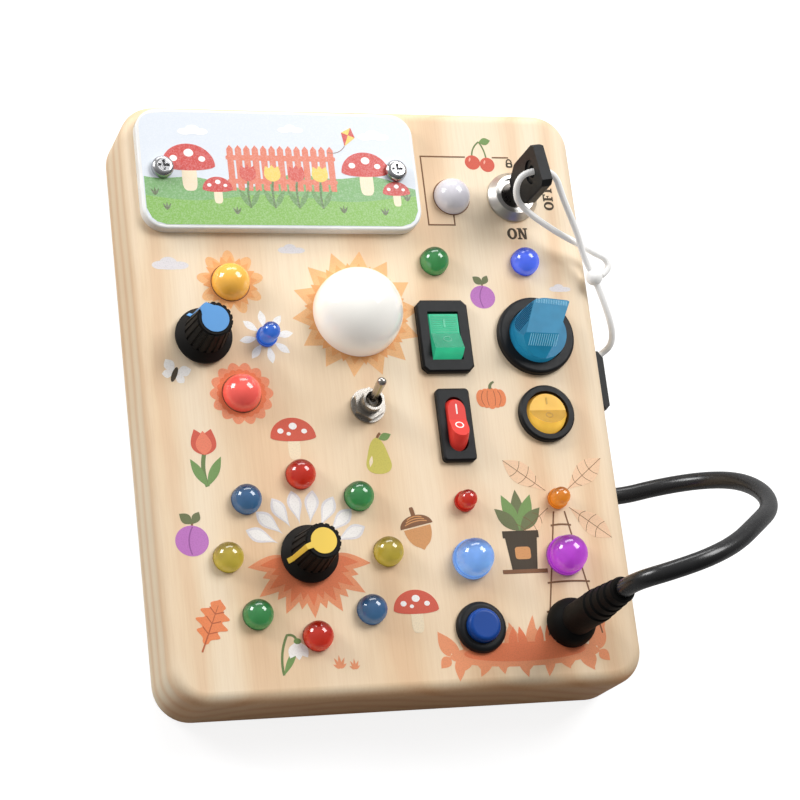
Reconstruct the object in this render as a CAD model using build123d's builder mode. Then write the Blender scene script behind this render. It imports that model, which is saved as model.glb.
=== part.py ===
from build123d import *
from math import cos, hypot, pi, radians, sin, sqrt, tan
import os

# Wooden busy board: a pine box whose face carries lamps, knobs, rockers, a toggle, a key switch
# and a plug on a lead. Millimetres. The back face lies on z = 0, the origin is at its centre,
# +Z points out of the face and +Y runs up the board.

# ---------------------------------------------------------------- driving dimensions: the board
board_width = 132.0
board_height = 168.0
board_thickness = 23.0
board_corner = 10.0
face_edge_radius = 3.5
back_edge_radius = 1.5
side_wall = 8.0
face_wall = 5.0
post_radius = 9.0
post_inset = 4.0
panel_thickness = 3.0
panel_ledge = 3.0
panel_corner = 4.0
cavity_corner = 1.0
seat_gap = 0.3
slip = 0.05
running = 0.05

# ---------------------------------------------------------------- where things stand on the face
# Outer columns and rows are set in from the board's edges. The ones between them are shares of the
# way from the left column to the right one, and from the plug's row up to the lock's row.
left_column_inset = 17.2
left_row_inset = 26.4
daisy_inset = 34.9
column_b_inset = 19.2
column_a_share = 0.71548
sun_column_share = 0.46130
plug_inset = 20.6
lock_inset = 20.2
key_lamp_inset = 38.5
plug_row = 17.0
lock_row = 26.6
dome_share = 0.15113
small_lamp_share = 0.28135
red_rocker_share = 0.45418
round_rocker_share = 0.47749
green_rocker_share = 0.66077
column_lamp_share = 0.84084
coral_share = 0.53698
dimmer_share = 0.66559
yellow_share = 0.79180
sun_share = 0.71865
toggle_share = 0.50402
selector_inset_x = 40.1
selector_inset_y = 38.7
battery_inset = 50.0
battery_row = 30.0

# ---------------------------------------------------------------- title plate and screws
plate_margin = 3.2
plate_top_margin = 2.75
plate_lamp_gap = 10.5
plate_height = 35.3
plate_thickness = 3.0
plate_corner = 6.5
plate_edge = 0.6
plate_screw_inset = 6.5
plate_screw_radius = 1.2
plate_screw_bite = 4.2
pan_head_radius = 3.1
pan_head_height = 2.2
pan_head_edge = 1.3
screw_radius = 1.4
screw_length = 12.0
screw_head_radius = 3.0
recess_width = 0.8
recess_depth = 0.9
recess_reach = 1.6

# ---------------------------------------------------------------- battery box
cell_diameter = 10.5
cell_length = 44.5
cell_gap = 0.5
cell_nub_radius = 1.9
cell_nub_height = 0.9
contact_space = 1.9
contact_thickness = 0.4
contact_size = 8.5
tray_wall = 1.4
door_thickness = 2.0
door_margin = 2.6
door_screw_end = 7.0
door_lip = 0.9
door_tongue_reach = 1.6
door_tongue_width = 12.0
door_corner = 2.0
door_gap = 0.2
frame_rim = 2.0
box_flange = 1.0
box_flange_height = 1.2
door_screw_length = 8.0
boss_radius = 3.2

# ---------------------------------------------------------------- lamps
lamp_radius = 4.0
lamp_flange = 4.6
lamp_flange_height = 1.4
lamp_dome_rise = 1.0
small_lamp_radius = 2.5
small_lamp_flange = 2.9
small_lamp_flange_height = 1.0
small_lamp_height = 5.7
daisy_lamp_height = 7.4
dome_lamp_radius = 5.1
dome_lamp_flange = 5.5
dome_lamp_flange_height = 1.3
dome_lamp_height = 8.1
lead_width = 0.5
lead_spread = 1.27
lead_depth = 10.0
lead_hole_radius = 1.9
cap_radius = 5.2
cap_wall = 1.0
cap_rise = 0.4
cap_lip = 1.0
sun_radius = 12.5
sun_wall = 1.2
sun_rise = 1.0
lamp_board_thickness = 1.0
lamp_chip_radius = 2.5
lamp_chip_height = 6.0
ring_lamp_radius = 22.0

# ---------------------------------------------------------------- knobs and their pots
knob_skirt_radius = 7.8
knob_lift = 0.8
knob_skirt_height = 1.2
knob_skirt_edge = 0.3
knob_foot_height = 4.0
knob_barrel_radius = 5.9
knob_top_radius = 4.9
knob_height = 14.5
knob_flutes = 18
knob_flute_radius = 0.42
knob_edge = 0.5
knob_recess_depth = 2.8
knob_recess_radius = 5.3
knob_roof = 1.5
shaft_radius = 3.0
bushing_radius = 3.5
bushing_height = 3.0
ring_nut_flats = 8.4
ring_nut_height = 2.0
pot_radius = 8.0
pot_depth = 7.5
pot_floor = 1.2
marker_depth = 0.8
marker_proud = 0.15
marker_foot = 2.8
marker_gap = 0.03
marker_shoulder = 0.55
dimmer_marker_radius = 3.7
dimmer_marker_strip = 1.0
dimmer_marker_neck = 5.4
dimmer_marker_angle = 127.0
selector_marker_radius = 3.5
selector_marker_strip = 1.4
selector_marker_neck = 1.8
selector_marker_angle = 198.0

# ---------------------------------------------------------------- toggle
toggle_bushing_radius = 3.0
toggle_bushing_height = 6.0
toggle_box_width = 13.0
toggle_box_depth = 8.0
toggle_box_height = 9.0
toggle_ball_radius = 2.0
toggle_bore_radius = 2.3
toggle_pivot_height = 3.5
toggle_rod_foot = 1.1
toggle_rod_tip = 1.3
toggle_rod_length = 10.4
toggle_tilt = 12.5
washer_radius = 4.9
washer_thickness = 0.6
toggle_nut_flats = 8.0
toggle_nut_height = 2.0

# ---------------------------------------------------------------- rockers
rocker_throw = 13.0
rocker_gap = 0.3
rocker_pivot_drop = 2.5
rocker_belly = 0.6
rocker_well = 3.2
stub_radius = 1.0
stub_reach = 0.7
housing_depth = 7.0
bezel_height = 2.0
bezel_chamfer = 1.5
bezel_edge = 0.5
green_bezel_width = 15.0
green_bezel_length = 21.0
green_rocker_width = 8.4
green_rocker_half = 6.74
green_rocker_end = 3.9
red_bezel_width = 9.6
red_bezel_length = 20.8
red_rocker_width = 5.0
red_rocker_half = 7.5
red_rocker_end = 5.0
round_bezel_radius = 8.1
round_rocker_radius = 5.95
round_rocker_end = 3.7
housing_wall = 1.9
round_housing_wall = 1.1

# ---------------------------------------------------------------- rotary switch
ring_radius = 11.3
ring_opening = 8.25
ring_height = 2.2
ring_floor = 0.5
rotary_body_radius = 8.0
rotary_body_depth = 16.0
grip_radius = 7.9
grip_base_height = 4.5
grip_height = 10.5
grip_blade_radius = 7.8
grip_blade_lift = 2.8
grip_nose_reach = 8.6
grip_nose_angle = 41.7
grip_nose_radius = 1.4
grip_left_inset = 5.4
grip_left_angle = 158.3
grip_front_inset = 2.6
grip_front_angle = 267.0
grip_right_inset = 3.9
grip_right_angle = 334.7

# ---------------------------------------------------------------- push button
push_bezel_radius = 7.0
push_bezel_height = 2.0
push_body_radius = 6.0
push_body_depth = 15.0
push_cap_radius = 4.6
push_cap_show = 0.4
push_flange_radius = 5.1
push_flange_height = 1.4
push_lip = 2.6
push_travel = 1.8
push_floor = 8.0
spring_pitch = 1.1
spring_radius = 2.4
spring_wire = 0.28

# ---------------------------------------------------------------- key switch
lock_foot_radius = 7.4
lock_rim_radius = 5.8
lock_height = 3.0
lock_recess_radius = 4.9
lock_recess_depth = 1.0
lock_body_radius = 6.0
lock_body_depth = 16.0
lock_core_radius = 3.8
keyway_width = 1.2
keyway_length = 5.2
blade_width = 1.0
blade_length = 5.0
blade_grip = 5.0
key_turn = 8.0
key_head_thickness = 3.1
key_head_foot = 4.5
key_neck_half = 3.2
key_head_half = 6.3
key_shoulder = 11.0
key_top_shoulder = 23.0
key_top_half = 5.0
key_head_top = 25.0
key_hole_height = 19.0
key_hole_radius = 1.8
key_dish_radius = 3.4
key_dish_depth = 0.5

# ---------------------------------------------------------------- plug, socket and lead
socket_radius = 4.0
socket_flange_radius = 5.5
socket_flange_height = 1.0
socket_depth = 15.0
barrel_radius = 2.75
barrel_length = 9.5
plug_dome_radius = 6.75
plug_neck_radius = 4.5
plug_dome_height = 6.0
plug_neck_height = 18.0
boot_length = 20.0
boot_foot_radius = 4.6
boot_end_radius = 3.5
boot_ribs = 5
boot_groove = 0.5
cable_diameter = 4.8
cable_slip = 0.15
cable_wall_row = 55.0
cable_wall_height = 11.5
nut_flats_m16 = 19.0
nut_flats_m12 = 14.5
nut_flats_m8 = 10.5
nut_thickness = 2.5

# ---------------------------------------------------------------- tether and its clip
tether_diameter = 1.8
knot_radius = 2.4
clip_top_row = 70.5
clip_length = 17.5
clip_proud = 4.2
clip_chamfer_x = 1.4
clip_chamfer_y = 2.0
clip_arm = 1.9
clip_pocket_depth = 2.1
clip_pocket_length = 8.0
clip_tip = 1.2
clip_bottom = 7.5
clip_top = 15.5

# ---------------------------------------------------------------- heights and centres derived
face_z = board_thickness
under_z = face_z - face_wall
right_x = board_width / 2
left_x = -board_width / 2
top_y = board_height / 2
bottom_y = -board_height / 2


def between(low, high, share):
    """Value a share of the way from low to high."""
    return low + share * (high - low)


left_column = left_x + left_column_inset
column_b = right_x - column_b_inset
column_a = between(left_column, column_b, column_a_share)
sun_column = between(left_column, column_b, sun_column_share)
low_row = bottom_y + plug_row
high_row = top_y - lock_row


def row(share):
    """Height on the face of a row between the plug's and the lock's."""
    return between(low_row, high_row, share)


selector_at = (left_x + selector_inset_x, bottom_y + selector_inset_y)
dimmer_at = (left_column, row(dimmer_share))
yellow_at = (left_x + left_row_inset, row(yellow_share))
coral_at = (left_x + left_row_inset, row(coral_share))
daisy_at = (left_x + daisy_inset, row(dimmer_share))
sun_at = (sun_column, row(sun_share))
toggle_at = (sun_column, row(toggle_share))
battery_at = (left_x + battery_inset, top_y - battery_row)
green_lamp_at = (column_a, row(column_lamp_share))
royal_lamp_at = (column_b, row(column_lamp_share))
green_rocker_at = (column_a, row(green_rocker_share))
red_rocker_at = (column_a, row(red_rocker_share))
rotary_at = (column_b, row(green_rocker_share))
round_rocker_at = (column_b, row(round_rocker_share))
small_red_at = (column_a, row(small_lamp_share))
small_orange_at = (column_b, row(small_lamp_share))
sky_at = (column_a, row(dome_share))
purple_at = (column_b, row(dome_share))
push_at = (column_a, low_row)
plug_at = (right_x - plug_inset, low_row)
lock_at = (right_x - lock_inset, high_row)
key_lamp_at = (right_x - key_lamp_inset, high_row)
plate_left = left_x + plate_margin
plate_right = key_lamp_at[0] - plate_lamp_gap
plate_width = plate_right - plate_left
plate_screw_spread = plate_width / 2 - plate_screw_inset
plate_at = ((plate_left + plate_right) / 2, top_y - plate_top_margin - plate_height / 2)
plate_screws_at = [
    (plate_at[0] - plate_screw_spread, plate_at[1]),
    (plate_at[0] + plate_screw_spread, plate_at[1]),
]
corner_screws_at = [
    (side * (right_x - side_wall - post_inset), end * (top_y - side_wall - post_inset))
    for side in (-1, 1)
    for end in (-1, 1)
]


def ring_places(*angles):
    """Centres on the lamp circle round the selector, at angles from +X."""
    return [
        (
            selector_at[0] + ring_lamp_radius * cos(radians(angle)),
            selector_at[1] + ring_lamp_radius * sin(radians(angle)),
        )
        for angle in angles
    ]


red_lamps_at = ring_places(90, 270)
green_lamps_at = ring_places(45, 225) + [green_lamp_at]
olive_lamps_at = ring_places(0, 180)
steel_blue_lamps_at = ring_places(135, 315)


# ---------------------------------------------------------------- drawing helpers
def upright(center):
    """Vertical drawing plane through center: x is the radius and y the height above the back."""
    return Plane(origin=(center[0], center[1], 0), x_dir=(1, 0, 0), z_dir=(0, -1, 0))


def level(center, height):
    """Horizontal drawing plane at a height, centred on a place on the face."""
    return Plane(origin=(center[0], center[1], height), x_dir=(1, 0, 0), z_dir=(0, 0, 1))


def turn(center, *outline, mode=Mode.ADD):
    """Turn a closed outline of (radius, height) points about the vertical through center."""
    with BuildSketch(upright(center)) as section:
        with BuildLine():
            Polyline(*outline, close=True)
        make_face()
    revolve(section.sketch, axis=Axis((center[0], center[1], 0), (0, 0, 1)), mode=mode)


def disc(center, radius, bottom, top, mode=Mode.ADD):
    """Upright cylinder from bottom to top."""
    with BuildSketch(level(center, bottom)) as circle:
        Circle(radius)
    extrude(circle.sketch, amount=top - bottom, mode=mode)


def block(center, width, length, bottom, top, corner=0.0, mode=Mode.ADD):
    """Upright block, width along X and length along Y, with optional plan corner radius."""
    with BuildSketch(level(center, bottom)) as plan:
        if corner > 0:
            RectangleRounded(width, length, corner)
        else:
            Rectangle(width, length)
    extrude(plan.sketch, amount=top - bottom, mode=mode)


def cross_recess(center, top, reach):
    """Cross-shaped driver recess cut down from top."""
    block(center, 2 * reach, recess_width, top - recess_depth, top, mode=Mode.SUBTRACT)
    block(center, recess_width, 2 * reach, top - recess_depth, top, mode=Mode.SUBTRACT)


# ---------------------------------------------------------------- board body
cavity_width = board_width - 2 * side_wall
cavity_height = board_height - 2 * side_wall
panel_width = cavity_width + 2 * panel_ledge
panel_height = cavity_height + 2 * panel_ledge
cable_at = (right_x, bottom_y + cable_wall_row, cable_wall_height)

green_housing = (green_rocker_width + 2 * (rocker_gap + housing_wall), green_bezel_length - 2.0)
red_housing = (red_rocker_width + 2 * (rocker_gap + housing_wall) - 1.0, red_bezel_length - 2.0)
round_opening = round_rocker_radius + rocker_gap
round_housing = round_opening + round_housing_wall
sun_flange = sun_radius + cap_lip
cap_flange = cap_radius + cap_lip

face_holes = (
    [(place, lamp_radius + slip) for place in red_lamps_at + green_lamps_at]
    + [(place, lamp_radius + slip) for place in olive_lamps_at + steel_blue_lamps_at]
    + [(royal_lamp_at, lamp_radius + slip)]
    + [(place, lead_hole_radius) for place in (small_red_at, small_orange_at, daisy_at)]
    + [(place, lead_hole_radius) for place in (sky_at, purple_at)]
    + [(place, cap_radius + slip) for place in (yellow_at, coral_at, key_lamp_at)]
    + [(sun_at, sun_radius + slip)]
    + [(place, bushing_radius + slip) for place in (dimmer_at, selector_at)]
    + [(toggle_at, toggle_bushing_radius + slip)]
    + [(round_rocker_at, round_housing + slip)]
    + [(rotary_at, rotary_body_radius + slip)]
    + [(push_at, push_body_radius + slip)]
    + [(lock_at, lock_body_radius + slip)]
    + [(plug_at, socket_radius + slip)]
)

with BuildPart() as board_body:
    with BuildSketch(Plane.XY):
        RectangleRounded(board_width, board_height, board_corner)
    extrude(amount=board_thickness)
    fillet(board_body.faces().sort_by(Axis.Z)[-1].edges(), radius=face_edge_radius)
    fillet(board_body.faces().sort_by(Axis.Z)[0].edges(), radius=back_edge_radius)
    with BuildSketch(Plane.XY):
        RectangleRounded(panel_width, panel_height, panel_corner)
    extrude(amount=panel_thickness, mode=Mode.SUBTRACT)
    with BuildSketch(Plane.XY.offset(panel_thickness)):
        RectangleRounded(cavity_width, cavity_height, cavity_corner)
        with GridLocations(cavity_width, cavity_height, 2, 2):
            Circle(post_radius, mode=Mode.SUBTRACT)
    extrude(amount=under_z - panel_thickness, mode=Mode.SUBTRACT)
    for place in corner_screws_at:
        disc(place, screw_radius + slip, 0, screw_length + 1.0, mode=Mode.SUBTRACT)
    for place, radius in face_holes:
        disc(place, radius, under_z, face_z, mode=Mode.SUBTRACT)
    for place in plate_screws_at:
        pilot_foot = face_z - plate_screw_bite - seat_gap
        disc(place, plate_screw_radius + slip, pilot_foot, face_z, mode=Mode.SUBTRACT)
    for place, (width, length) in ((green_rocker_at, green_housing), (red_rocker_at, red_housing)):
        block(place, width + 2 * slip, length + 2 * slip, under_z, face_z, mode=Mode.SUBTRACT)
    cable_bore = Plane(origin=(right_x - side_wall - 1, cable_at[1], cable_at[2]), z_dir=(1, 0, 0))
    with BuildSketch(cable_bore):
        Circle(cable_diameter / 2 + cable_slip)
    extrude(amount=side_wall + 2, mode=Mode.SUBTRACT)

# ---------------------------------------------------------------- back panel and battery box
pocket_width = 2 * cell_diameter + 3 * cell_gap
pocket_length = cell_length + 2 * contact_space
door_width = pocket_width + 2 * door_margin
door_length = pocket_length + 2 * door_margin + door_screw_end
frame_width = door_width + 2 * frame_rim
frame_length = door_length + 2 * frame_rim
pocket_shift = -door_screw_end / 2
pocket_at = (battery_at[0] + pocket_shift, battery_at[1])
door_screw_at = (battery_at[0] + door_length / 2 - door_screw_end / 2 - 0.6, battery_at[1])
cell_floor = panel_thickness + 0.3
cell_axis_z = cell_floor + cell_diameter / 2
tray_top = cell_floor + cell_diameter + 0.3 + tray_wall

with BuildPart() as back_panel:
    with BuildSketch(Plane.XY):
        RectangleRounded(panel_width - 2 * seat_gap, panel_height - 2 * seat_gap, panel_corner - seat_gap)
        with Locations(battery_at):
            RectangleRounded(frame_length + 0.2, frame_width + 0.2, door_corner, mode=Mode.SUBTRACT)
    extrude(amount=panel_thickness)
    for place in corner_screws_at:
        head_drop = screw_head_radius - screw_radius
        turn(
            place,
            (0, 0),
            (screw_head_radius + slip, 0),
            (screw_radius + slip, head_drop),
            (screw_radius + slip, panel_thickness),
            (0, panel_thickness),
            mode=Mode.SUBTRACT,
        )


def countersunk_screw(place, length):
    """Flat-head screw driven in from the back, its head flush with z = 0."""
    head_drop = screw_head_radius - screw_radius
    turn(
        place,
        (0, 0),
        (screw_head_radius, 0),
        (screw_radius, head_drop),
        (screw_radius, length - screw_radius),
        (0, length),
    )
    cross_recess(place, recess_depth, recess_reach)


with BuildPart() as back_screws:
    for place in corner_screws_at:
        countersunk_screw(place, screw_length)
    countersunk_screw(door_screw_at, door_screw_length)

with BuildPart() as battery_box:
    block(battery_at, frame_length, frame_width, 0, panel_thickness, corner=door_corner)
    flange_z = panel_thickness + box_flange_height
    flange_size = (frame_length + 2 * box_flange, frame_width + 2 * box_flange)
    block(battery_at, *flange_size, panel_thickness, flange_z, corner=door_corner)
    block(
        pocket_at,
        pocket_length + 2 * tray_wall,
        pocket_width + 2 * tray_wall,
        panel_thickness,
        tray_top,
        corner=1.2,
    )
    disc(door_screw_at, boss_radius, panel_thickness, door_screw_length + 2.0)
    door_bed = (door_length + 2 * door_gap, door_width + 2 * door_gap)
    block(battery_at, *door_bed, 0, door_thickness, corner=door_corner, mode=Mode.SUBTRACT)
    block(pocket_at, pocket_length, pocket_width, 0, tray_top - tray_wall, mode=Mode.SUBTRACT)
    with Locations((battery_at[0] - door_length / 2 - 0.2, battery_at[1], door_thickness)):
        Box(
            2 * (door_tongue_reach + 0.2),
            door_tongue_width + 0.4,
            door_thickness - door_lip,
            align=(Align.CENTER, Align.CENTER, Align.MAX),
            mode=Mode.SUBTRACT,
        )
    disc(door_screw_at, screw_radius + slip, 0, door_screw_length + 0.8, mode=Mode.SUBTRACT)

with BuildPart() as battery_door:
    block(battery_at, door_length, door_width, 0, door_thickness - slip, corner=door_corner - 0.2)
    with Locations((battery_at[0] - door_length / 2, battery_at[1], door_thickness - slip)):
        Box(
            2 * door_tongue_reach,
            door_tongue_width,
            door_thickness - door_lip - 2 * slip,
            align=(Align.CENTER, Align.CENTER, Align.MAX),
        )
    turn(
        door_screw_at,
        (0, 0),
        (screw_head_radius + slip, 0),
        (screw_radius + slip, screw_head_radius - screw_radius),
        (screw_radius + slip, door_thickness),
        (0, door_thickness),
        mode=Mode.SUBTRACT,
    )

cell_ways = ((-1, (cell_diameter + cell_gap) / 2), (1, -(cell_diameter + cell_gap) / 2))

with BuildPart() as battery_cells:
    for way, offset_y in cell_ways:
        body_length = cell_length - cell_nub_height
        foot = Plane(
            origin=(pocket_at[0] - way * cell_length / 2, pocket_at[1] + offset_y, cell_axis_z),
            z_dir=(way, 0, 0),
        )
        with BuildSketch(foot) as case:
            Circle(cell_diameter / 2)
        extrude(case.sketch, amount=body_length)
        with BuildSketch(foot.offset(body_length)) as nub:
            Circle(cell_nub_radius)
        extrude(nub.sketch, amount=cell_nub_height)

contact_reach = pocket_length / 2 - slip

with BuildPart() as battery_contacts:
    for way, offset_y in cell_ways:
        for end in (-1, 1):
            wall = Plane(
                origin=(pocket_at[0] + end * contact_reach, pocket_at[1] + offset_y, cell_axis_z),
                x_dir=(0, 1, 0),
                z_dir=(-end, 0, 0),
            )
            with BuildSketch(wall) as leaf:
                RectangleRounded(contact_size, contact_size, 1.0)
            extrude(leaf.sketch, amount=contact_thickness)
            boss_reach = contact_space - contact_thickness - 2 * slip
            boss_foot = 1.6 if end == way else 3.2
            with BuildSketch(wall.offset(contact_thickness)) as boss:
                Circle(boss_foot)
            extrude(boss.sketch, amount=boss_reach, taper=25)

# ---------------------------------------------------------------- title plate
with BuildPart() as title_plate:
    with BuildSketch(level(plate_at, face_z)):
        RectangleRounded(plate_width, plate_height, plate_corner)
    extrude(amount=plate_thickness)
    fillet(title_plate.faces().sort_by(Axis.Z)[-1].edges(), radius=plate_edge)
    for place in plate_screws_at:
        disc(place, plate_screw_radius + slip, face_z, face_z + plate_thickness, mode=Mode.SUBTRACT)

plate_top = face_z + plate_thickness

with BuildPart() as plate_screws:
    for place in plate_screws_at:
        disc(place, pan_head_radius, plate_top, plate_top + pan_head_height)
    fillet(plate_screws.faces().group_by(Axis.Z)[-1].edges(), radius=pan_head_edge)
    for place in plate_screws_at:
        turn(
            place,
            (0, face_z - plate_screw_bite),
            (plate_screw_radius, face_z - plate_screw_bite + plate_screw_radius),
            (plate_screw_radius, plate_top),
            (0, plate_top),
        )
        cross_recess(place, plate_top + pan_head_height, recess_reach)


# ---------------------------------------------------------------- lamps
def dome_lamps(places, radius, flange_radius, foot_z, flange_height, dome_z):
    """Lamps with a round top, a flange at foot_z and two square leads going down."""
    with BuildPart() as lamps:
        for place in places:
            with BuildSketch(upright(place)) as section:
                with BuildLine():
                    Polyline(
                        (0, dome_z + radius),
                        (0, foot_z),
                        (flange_radius, foot_z),
                        (flange_radius, foot_z + flange_height),
                        (radius, foot_z + flange_height),
                        (radius, dome_z),
                    )
                    CenterArc((0, dome_z), radius, 0, 90)
                make_face()
            revolve(section.sketch, axis=Axis((place[0], place[1], 0), (0, 0, 1)))
            for side in (-1, 1):
                lead_at = (place[0] + side * lead_spread, place[1])
                block(lead_at, lead_width, lead_width, face_z - lead_depth, foot_z)
    return lamps


def face_lamps(places):
    """Eight-millimetre lamps pushed up through the face from behind."""
    foot = under_z - lamp_flange_height
    return dome_lamps(places, lamp_radius, lamp_flange, foot, lamp_flange_height, face_z + lamp_dome_rise)


def small_lamps(place, height):
    """Five-millimetre lamp standing on the face."""
    radius = small_lamp_radius
    dome_z = face_z + height - radius
    return dome_lamps([place], radius, small_lamp_flange, face_z, small_lamp_flange_height, dome_z)


def large_lamps(place):
    """Ten-millimetre lamp standing on the face."""
    radius = dome_lamp_radius
    dome_z = face_z + dome_lamp_height - radius
    return dome_lamps([place], radius, dome_lamp_flange, face_z, dome_lamp_flange_height, dome_z)


red_lamps = face_lamps(red_lamps_at)
green_lamps = face_lamps(green_lamps_at)
olive_lamps = face_lamps(olive_lamps_at)
steel_blue_lamps = face_lamps(steel_blue_lamps_at)
royal_blue_lamp = face_lamps([royal_lamp_at])
small_red_lamp = small_lamps(small_red_at, small_lamp_height)
small_orange_lamp = small_lamps(small_orange_at, small_lamp_height)
daisy_lamp = small_lamps(daisy_at, daisy_lamp_height)
sky_lamp = large_lamps(sky_at)
purple_lamp = large_lamps(purple_at)


def lamp_cap(place, radius, wall, rise):
    """Hollow cap with a domed top, kept from behind by its lip."""
    lip = radius + cap_lip
    foot = under_z - cap_lip
    dome_z = face_z + rise
    inner = radius - wall
    with BuildPart() as cap:
        with BuildSketch(upright(place)):
            with BuildLine():
                Polyline(
                    (0, dome_z + inner),
                    (0, dome_z + radius),
                )
                CenterArc((0, dome_z), radius, 0, 90)
                Polyline(
                    (radius, dome_z),
                    (radius, under_z),
                    (lip, under_z),
                    (lip, foot),
                    (inner, foot),
                    (inner, dome_z),
                )
                CenterArc((0, dome_z), inner, 0, 90)
            make_face()
        revolve(axis=Axis((place[0], place[1], 0), (0, 0, 1)))
    return cap


yellow_lamp = lamp_cap(yellow_at, cap_radius, cap_wall, cap_rise)
coral_lamp = lamp_cap(coral_at, cap_radius, cap_wall, cap_rise)
key_lamp = lamp_cap(key_lamp_at, cap_radius, cap_wall, cap_rise)
sun_lamp = lamp_cap(sun_at, sun_radius, sun_wall, sun_rise)

lamp_board_top = under_z - cap_lip

with BuildPart() as lamp_boards:
    for place in (yellow_at, coral_at, key_lamp_at, sun_at):
        edge = sun_flange if place == sun_at else cap_flange
        disc(place, edge - 0.4, lamp_board_top - lamp_board_thickness, lamp_board_top)
        chip_dome = lamp_board_top + lamp_chip_height - lamp_chip_radius
        with BuildSketch(upright(place)) as chip:
            with BuildLine():
                Polyline(
                    (0, chip_dome + lamp_chip_radius),
                    (0, lamp_board_top),
                    (lamp_chip_radius, lamp_board_top),
                    (lamp_chip_radius, chip_dome),
                )
                CenterArc((0, chip_dome), lamp_chip_radius, 0, 90)
            make_face()
        revolve(chip.sketch, axis=Axis((place[0], place[1], 0), (0, 0, 1)))

# ---------------------------------------------------------------- pots, shafts and knobs
knob_foot_z = face_z + knob_lift
knob_top_z = face_z + knob_height
knob_cone_z = face_z + knob_foot_height
shaft_bottom = under_z - pot_depth + pot_floor + 0.3
shaft_top = knob_top_z - knob_roof


def pot(place):
    """Round can under the face with a threaded bushing standing through it."""
    with BuildPart() as can:
        disc(place, pot_radius, under_z - pot_depth, under_z)
        disc(place, bushing_radius, under_z, face_z + bushing_height)
        bore_foot = under_z - pot_depth + pot_floor
        disc(place, shaft_radius + running, bore_foot, face_z + bushing_height, mode=Mode.SUBTRACT)
    return can


def pot_shaft(place):
    """Shaft that turns in the bushing and carries the knob."""
    with BuildPart() as shaft:
        disc(place, shaft_radius, shaft_bottom, shaft_top)
    return shaft


def cone_radius(height):
    """Radius of the cone between the knob's skirt and its barrel at a height."""
    share = (knob_cone_z - height) / (knob_cone_z - knob_foot_z - knob_skirt_height)
    return knob_barrel_radius + (knob_skirt_radius - knob_skirt_edge - knob_barrel_radius) * share


def marker(place, angle, head_radius, neck, strip, grow):
    """Pointer let into the knob's top and side: a disc and a tapering arm, grown by a clearance."""
    outer = marker_proud + grow
    inner = marker_depth - marker_proud + grow
    foot_z = face_z + marker_foot - grow
    foot_radius = cone_radius(foot_z)
    way = (cos(radians(angle)), sin(radians(angle)), 0)
    with BuildPart() as inlay:
        with BuildSketch(Plane(origin=(place[0], place[1], face_z), x_dir=way, z_dir=(0, 0, 1))):
            Circle(head_radius + grow)
            with BuildLine():
                shoulder = marker_shoulder * head_radius
                Polyline(
                    (shoulder, neck / 2 + grow),
                    (knob_barrel_radius, strip / 2 + grow),
                    (knob_skirt_radius, strip / 2 + grow),
                    (knob_skirt_radius, -strip / 2 - grow),
                    (knob_barrel_radius, -strip / 2 - grow),
                    (shoulder, -neck / 2 - grow),
                    close=True,
                )
            make_face()
        extrude(amount=knob_height + 1)
        with BuildSketch(upright(place)):
            with BuildLine():
                Polyline(
                    (0, knob_top_z + outer),
                    (knob_top_radius + outer, knob_top_z + outer),
                    (knob_barrel_radius + outer, knob_cone_z + outer),
                    (foot_radius + 1.3 * outer, foot_z),
                    (foot_radius - 1.3 * inner, foot_z),
                    (knob_barrel_radius - inner, knob_cone_z - inner),
                    (knob_top_radius - inner, knob_top_z - inner),
                    (0, knob_top_z - inner),
                    close=True,
                )
            make_face()
        revolve(axis=Axis((place[0], place[1], 0), (0, 0, 1)), mode=Mode.INTERSECT)
    return inlay


def fluted(radius):
    """Circle with a ring of small round flutes cut into it."""
    Circle(radius)
    flute = knob_flute_radius * radius / knob_barrel_radius
    with PolarLocations(radius, knob_flutes):
        Circle(flute, mode=Mode.SUBTRACT)


def knob(place, pointer):
    """Skirted knob with a fluted, tapering barrel, let in for its marker."""
    pocket = marker(place, *pointer, marker_gap)
    with BuildPart() as body:
        turn(
            place,
            (0, knob_foot_z),
            (knob_skirt_radius, knob_foot_z),
            (knob_skirt_radius, knob_foot_z + knob_skirt_height - knob_skirt_edge),
            (knob_skirt_radius - knob_skirt_edge, knob_foot_z + knob_skirt_height),
            (knob_barrel_radius, knob_cone_z),
            (0, knob_cone_z),
        )
        with BuildSketch(level(place, knob_cone_z)) as foot:
            fluted(knob_barrel_radius)
        with BuildSketch(level(place, knob_top_z - knob_edge)) as crown:
            fluted(knob_top_radius)
        loft([foot.sketch, crown.sketch], ruled=True)
        disc(place, knob_top_radius - knob_edge, knob_top_z - knob_edge, knob_top_z)
        disc(place, knob_recess_radius, knob_foot_z, knob_foot_z + knob_recess_depth, mode=Mode.SUBTRACT)
        disc(place, shaft_radius + slip, knob_foot_z, shaft_top + slip, mode=Mode.SUBTRACT)
        add(pocket.part, mode=Mode.SUBTRACT)
    return body


dimmer_pointer = (
    dimmer_marker_angle,
    dimmer_marker_radius,
    dimmer_marker_neck,
    dimmer_marker_strip,
)
selector_arm = (
    selector_marker_angle,
    selector_marker_radius,
    selector_marker_neck,
    selector_marker_strip,
)
dimmer_pot = pot(dimmer_at)
dimmer_shaft = pot_shaft(dimmer_at)
dimmer_knob = knob(dimmer_at, dimmer_pointer)
dimmer_cap = marker(dimmer_at, *dimmer_pointer, 0)
selector_switch = pot(selector_at)
selector_shaft = pot_shaft(selector_at)
selector_knob = knob(selector_at, selector_arm)
selector_pointer = marker(selector_at, *selector_arm, 0)


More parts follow.
